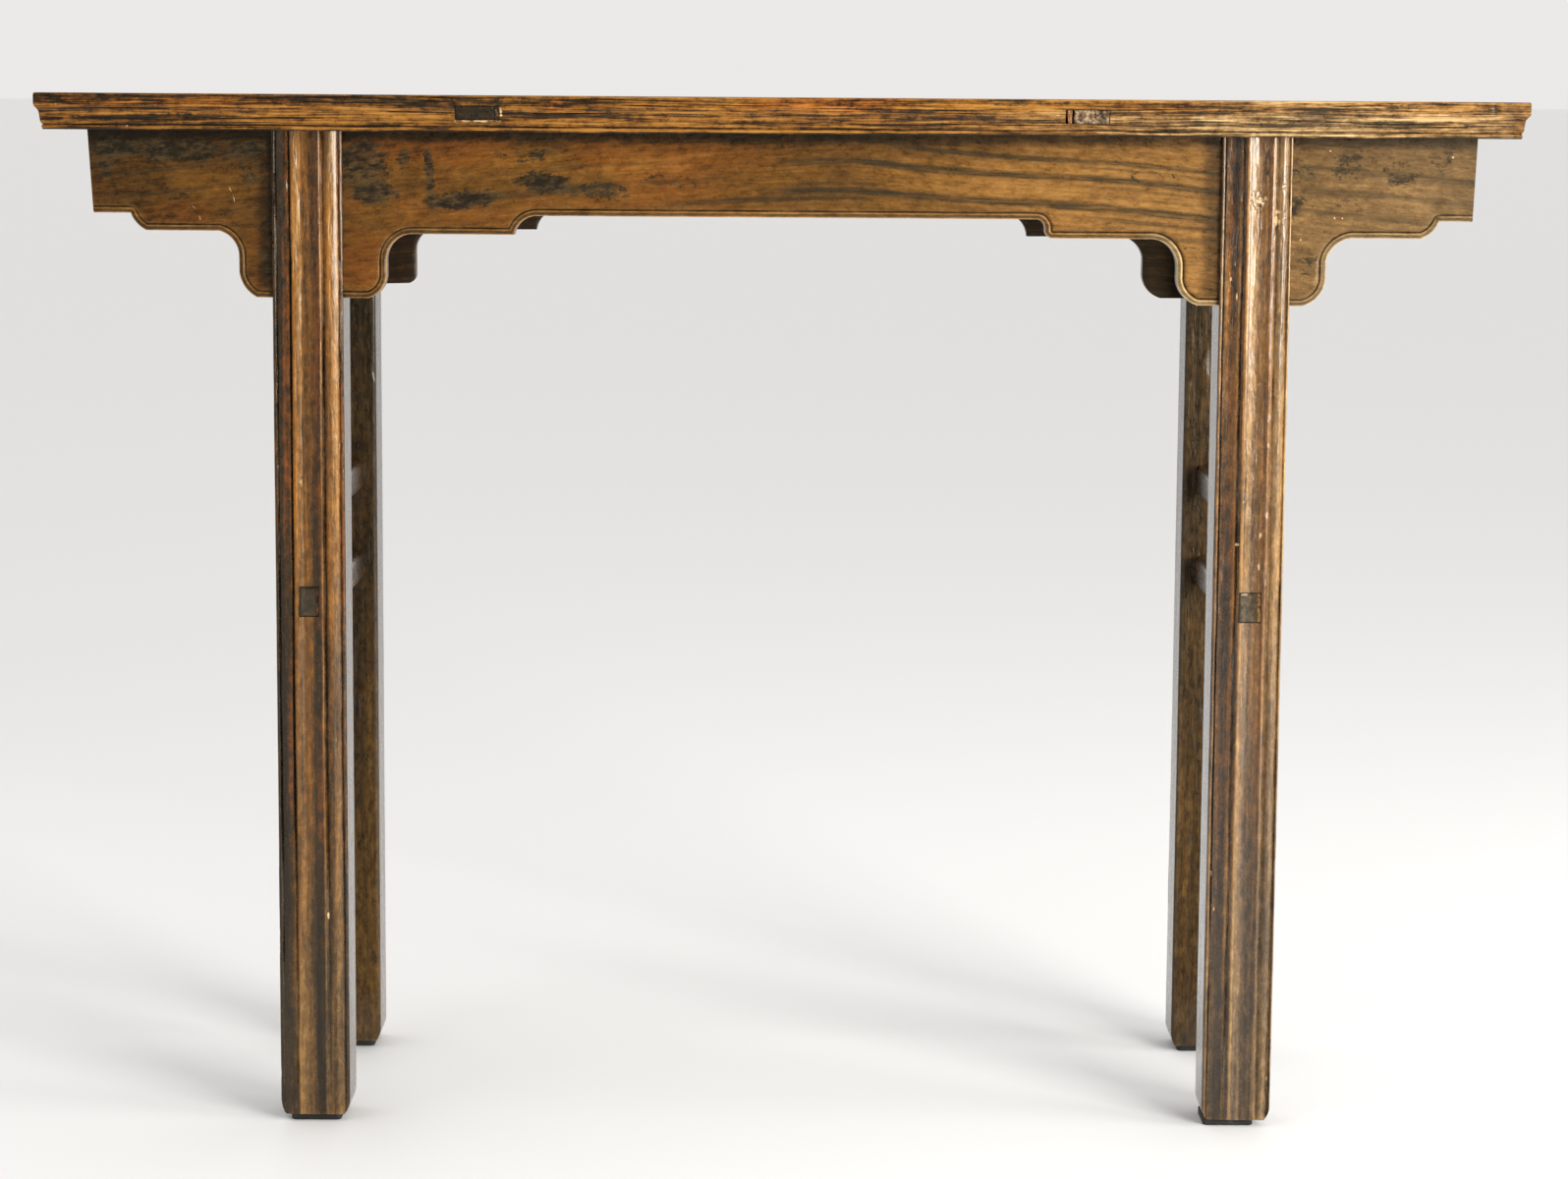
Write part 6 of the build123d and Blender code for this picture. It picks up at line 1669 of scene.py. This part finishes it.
    # the bead is greyed a little, and much more at the right spandrel, where it carries the painted highlight
    warm = np.clip(warm - bead * (0.25 + 0.6 * smooth(290, 310, x)), -1, 1)
    chip = np.zeros_like(x)
    for (x0, z0, x1, z1) in ((-458, 793, -453.6, 781), (-488, 777, -482, 766.5)):
        t = np.clip(((x - x0) * (x1 - x0) + (z - z0) * (z1 - z0)) / ((x1 - x0) ** 2 + (z1 - z0) ** 2), 0, 1)
        bow = 0.9 * np.sin(t * math.pi)
        chip += 0.72 * np.exp(-(np.hypot(x - x0 - t * (x1 - x0) - bow, z - z0 - t * (z1 - z0)) / 0.62) ** 2)
    for cx, cz, r in SPECKS:
        chip += 0.95 * np.exp(-(((x - cx) ** 2 + (z - cz) ** 2) / r ** 2))
    return dark, warm, light, chip


SPECKS = [(453.6, 829, 1.0), (555.4, 824.3, 1.1), (458.5, 773.7, 1.0), (465, 773.7, 0.9), (430.8, 755.6, 1.0)]
DENSE = [(s[0], s[1], 3.0) for s in SPECKS] + [(-455.8, 787, 8.5), (-485, 771.7, 7.5), (303, 806, 16), (330, 807, 12)]
APRON_LOOK = dict(mid=(98, 63, 21), gold=(150, 101, 40), pale=(186, 138, 72), olive=(41, 35, 23), contrast=0.10, fine=0.32,
                  mottling=0.50, patches=0.0, flecks=0.6, rough=0.33, coat=0.25, spec=0.22, bump=0.8, crisp=1.6, spots=1.2, across=1.0, along=1.2, ripple=0.6, grime=0.8,
                  clouds=0.45, film=0.24, pore_k=0.10, streak=-0.02, band_dark=0.95)
RINGS = [(818.7, 5.2, 1.0, 10, 420, 30), (795.6, 5.0, 1.0, -5, 420, 25), (834.0, 3.8, 0.9, 95, 420, 30),
         (828.0, 2.6, 0.6, 240, 430, 25), (787.0, 3.0, 0.7, 250, 430, 25), (778.0, 3.4, 0.6, 300, 430, 20), (804.5, 2.4, 0.5, 260, 430, 25),
         (789.2, 4.2, 0.9, -95, 70, 20), (809.0, 3.0, 0.7, -115, -45, 15), (801.5, 2.8, 0.7, 5, 78, 15),
         (808.0, 6.5, 0.5, -290, -140, 30), (826.0, 2.4, 0.4, -260, -80, 30), (812.0, 2.2, 0.35, 230, 400, 25),
         (845.0, 5.0, 0.7, 430, 600, 20), (826.0, 5.0, 0.7, 430, 600, 20), (808.0, 4.4, 0.6, 430, 540, 20),
         (842.0, 3.0, 0.5, -560, -440, 20), (862.0, 4.0, 0.5, -580, -430, 20)]
make_apron("apron_front", -1, "front_left", "front_right", 201,
           elm("elm_apron_front", seed=9.4, bands=RINGS, **APRON_LOOK), paint=front_apron_paint, dense=DENSE)


def rear_apron_paint(x, z, d):
    # painted shade: the rear apron is darkened all over, most on its spandrels, with the bead left lighter
    bead = smooth(5.4, 4.6, d)
    low = smooth(770, 762, z)
    dark = 0.35 + 0.4 * smooth(0.0, 0.7, fbm(x * 0.015, z * 0.03, 0, 221, 3)) + 0.7 * low * (1 - bead)
    light = -0.10 - 0.30 * low * (1 - bead) + 0.12 * bead
    return dark, 0.0 * x, light, np.zeros_like(x)


make_apron("apron_rear", 1, "rear_left", "rear_right", 202,
           elm("elm_apron_rear", seed=10.2, bands=[(820, 4, 0.5, -300, 300, 60)], **APRON_LOOK),
           paint=rear_apron_paint)
make_end_apron("end_apron_left", -1, 203, elm("elm_end_apron_left", seed=11.0, **APRON_LOOK))
make_end_apron("end_apron_right", 1, 204, elm("elm_end_apron_right", seed=11.6, **APRON_LOOK))

# ------------------------------------------------------------------ stretchers
STR_LOOK = dict(LEG_LOOK, patches=0.35, streak=-0.12, rough=0.3)
for side, sx, seed in (("left", -1, 301), ("right", 1, 311)):
    make_stretcher("stretcher_lower_" + side, sx, 448.0, True, seed, elm("elm_stretcher_lower_" + side, seed=12 + 0.7 * sx, **STR_LOOK))
    make_stretcher("stretcher_upper_" + side, sx, 530.0, False, seed + 3, elm("elm_stretcher_upper_" + side, seed=14 + 0.7 * sx, **STR_LOOK))

b = Build()
k = 0
for sx in (-1, 1):
    c = 11.0 if sx > 0 else 7.0
    for sy in (-1, 1):
        right = sx > 0

        def end(x, z, sx=sx, right=right):
            return LEG_Y + LEG_D / 2 - face_back(x - sx * LEG_X, right)
        xo = sx * LEG_X + c - 0.15
        plug(b, (xo - 2.3, xo), (xo - 0.7, xo), sy, 435.3, 460.7, end, 122.0, 0.25, 90 + 3 * sx + sy,
             box=(0.25 * k, 0, 0.25 * k + 0.24, 1), nu=6, nw=16, rag=0.2, light=0.0 if right else -0.26, dark=0.0 if right else 0.5)
        k += 1
b.object("stretcher_wedges", elm("elm_stretcher_wedge", seed=15.5, **dict(BARE, deep=(62, 42, 24), mid=(104, 70, 38),
                                                                         gold=(140, 98, 54), pale=(184, 144, 98))),
         ["stretcher_wedges"], slot="bare_elm", sharp=45)

# ------------------------------------------------------------------ foot pads
m = Nodes("foot_pad_black")
g = m.attribute("grain")
grit = m.noise(m.vec("MULTIPLY", g, (900.0, 900.0, 900.0)), 4.0, 0.65)
dust = m.noise(m.vec("MULTIPLY", g, (60.0, 60.0, 160.0)), 5.0, 0.6)
tone = m.math("MULTIPLY_ADD", grit, 0.4, m.math("MULTIPLY", dust, 0.7))
m.put(m.ramp(tone, [(0.3, srgb(14, 13, 13)), (0.6, srgb(30, 28, 27)), (0.8, srgb(74, 68, 60))]), m.bsdf.inputs["Base Color"])
m.put(m.range(tone, 0.2, 0.9, 0.62, 0.85, "LINEAR"), m.bsdf.inputs["Roughness"])
m.put(m.bump(grit, 0.0004, 0.8), m.bsdf.inputs["Normal"])
for name, cx, sy, seed in (("foot_pad_front_left", -393.0, -1, 1), ("foot_pad_front_right", 387.0, -1, 2),
                           ("foot_pad_rear_left", -391.5, 1, 3), ("foot_pad_rear_right", 391.5, 1, 4)):
    b = Build()
    rings = []
    for z, inset in ((0.02, 22), (0.02, 12), (0.02, 4), (0.02, 1.05), (0.28, 0.5), (0.65, 0.2), (1.1, 0.08), (2.2, 0.05),
                     (3.4, 0.12), (4.6, 0.08), (5.5, 0.06), (5.9, 0.3), (5.98, 2), (5.98, 10), (5.98, 20)):
        r = ring_rect(max(43 - 2 * inset, 0.6), max(42 - 2 * inset, 0.6), max(min(4.0 - inset * 0.4, 20 - inset), 0.15),
                      corner=6, nx=9, nz=9)
        wv = 0.10 + 0.10 * vnoise(r[:, 0] * 0.3, r[:, 1] * 0.3, z * 0.6, seed)
        k = 1 - wv / 22
        rings.append(np.stack([cx + r[:, 0] * k, sy * LEG_Y + r[:, 1] * k, np.full(len(r), z)], -1))
    p = np.stack(rings)
    ids = b.add(p, grain=p)
    b.quads(ids, wrap=True, box=(0, 0, 0.96, 1))
    b.poly(ids[0])
    b.poly(ids[-1], (0.97, 0.1, 1.0, 0.13))
    b.object(name, m.mat, [name], slot="foot_pad", sharp=50)

# ------------------------------------------------------------------ floor, light, camera
me = bpy.data.meshes.new("floor")
R = 900.0
me.from_pydata([(-R, -R, 0), (R, -R, 0), (R, R, 0), (-R, R, 0)], [], [(0, 1, 2, 3)])
floor = bpy.data.objects.new("floor", me)
f = Nodes("floor_pale")
f.bsdf.inputs["Base Color"].default_value = (0.80, 0.80, 0.795, 1)
f.bsdf.inputs["Roughness"].default_value = 0.55
me.materials.append(f.mat)
bpy.context.scene.collection.objects.link(floor)


def softbox(name, at, aim, w, h, watts, colour=(1, 1, 1)):
    la = bpy.data.lights.new(name, "AREA")
    la.shape, la.size, la.size_y, la.energy, la.color = "RECTANGLE", w, h, watts, colour
    ob = bpy.data.objects.new(name, la)
    ob.location = at
    ob.rotation_euler = (Vector(aim) - Vector(at)).to_track_quat("-Z", "Y").to_euler()
    bpy.context.scene.collection.objects.link(ob)
    return ob


softbox("window", (2.1, -2.65, 1.15), (0.1, 0, 0.6), 1.5, 1.4, 150, (1.0, 0.985, 0.95)).visible_glossy = False
# its sheen comes from its lower half only, so that the top isn't a mirror from behind
softbox("sheen", (2.1344, -2.6956, 0.8047), (0.1344, -0.0456, 0.2547), 1.5, 0.7, 75, (1.0, 0.985, 0.95)).visible_diffuse = False
softbox("side", (3.2, -0.9, 1.2), (0.35, 0, 0.6), 1.4, 1.4, 48, (1.0, 0.99, 0.97))
softbox("fill", (-2.6, -2.4, 1.5), (0, 0, 0.6), 1.4, 1.4, 8, (0.96, 0.98, 1.0))

# the studio is white behind and above the table and dimmer before it
world = bpy.data.worlds.new("studio")
bpy.context.scene.world = world
world.use_nodes = True
wt = world.node_tree
back = wt.nodes["Background"]
coord = wt.nodes.new("ShaderNodeTexCoord")
axes = wt.nodes.new("ShaderNodeSeparateXYZ")
lift = wt.nodes.new("ShaderNodeMath")
lift.operation = "MULTIPLY_ADD"
lift.inputs[1].default_value = 0.45
strength = wt.nodes.new("ShaderNodeMapRange")
strength.interpolation_type = "SMOOTHSTEP"
for socket, value in zip(("From Min", "From Max", "To Min", "To Max"), (-0.75, 0.15, 0.06, 0.86)):
    strength.inputs[socket].default_value = value
wt.links.new(coord.outputs["Generated"], axes.inputs[0])
wt.links.new(axes.outputs["Z"], lift.inputs[0])
wt.links.new(axes.outputs["Y"], lift.inputs[2])
wt.links.new(lift.outputs[0], strength.inputs["Value"])
back.inputs["Color"].default_value = (0.965, 0.952, 0.938, 1)
overhead = wt.nodes.new("ShaderNodeMapRange")
overhead.interpolation_type = "SMOOTHSTEP"
for socket, value in zip(("From Min", "From Max", "To Min", "To Max"), (0.40, 0.95, 0.0, 0.40)):
    overhead.inputs[socket].default_value = value
both = wt.nodes.new("ShaderNodeMath")
both.operation = "ADD"
wt.links.new(axes.outputs["Z"], overhead.inputs["Value"])
wt.links.new(overhead.outputs["Result"], both.inputs[0])
wt.links.new(strength.outputs["Result"], both.inputs[1])
wt.links.new(both.outputs[0], back.inputs["Strength"])

cam_data = bpy.data.cameras.new("camera")
cam = bpy.data.objects.new("camera", cam_data)
bpy.context.scene.collection.objects.link(cam)
cam_data.lens, cam_data.sensor_width = 85.0, 36.0
cam_data.clip_start, cam_data.clip_end = 0.05, 3000.0
cam.location = (-0.00298, -3.22773, 0.86747)
turn = (Matrix.Rotation(math.radians(-0.1294), 4, "Z") @ Matrix.Rotation(math.radians(90 - 7.5255), 4, "X")
        @ Matrix.Rotation(math.radians(0.3954), 4, "Z"))
cam.rotation_euler = turn.to_euler()
bpy.context.scene.camera = cam

vs = bpy.context.scene.view_settings
vs.view_transform, vs.look, vs.exposure, vs.gamma = "Standard", "None", 0.0, 1.0
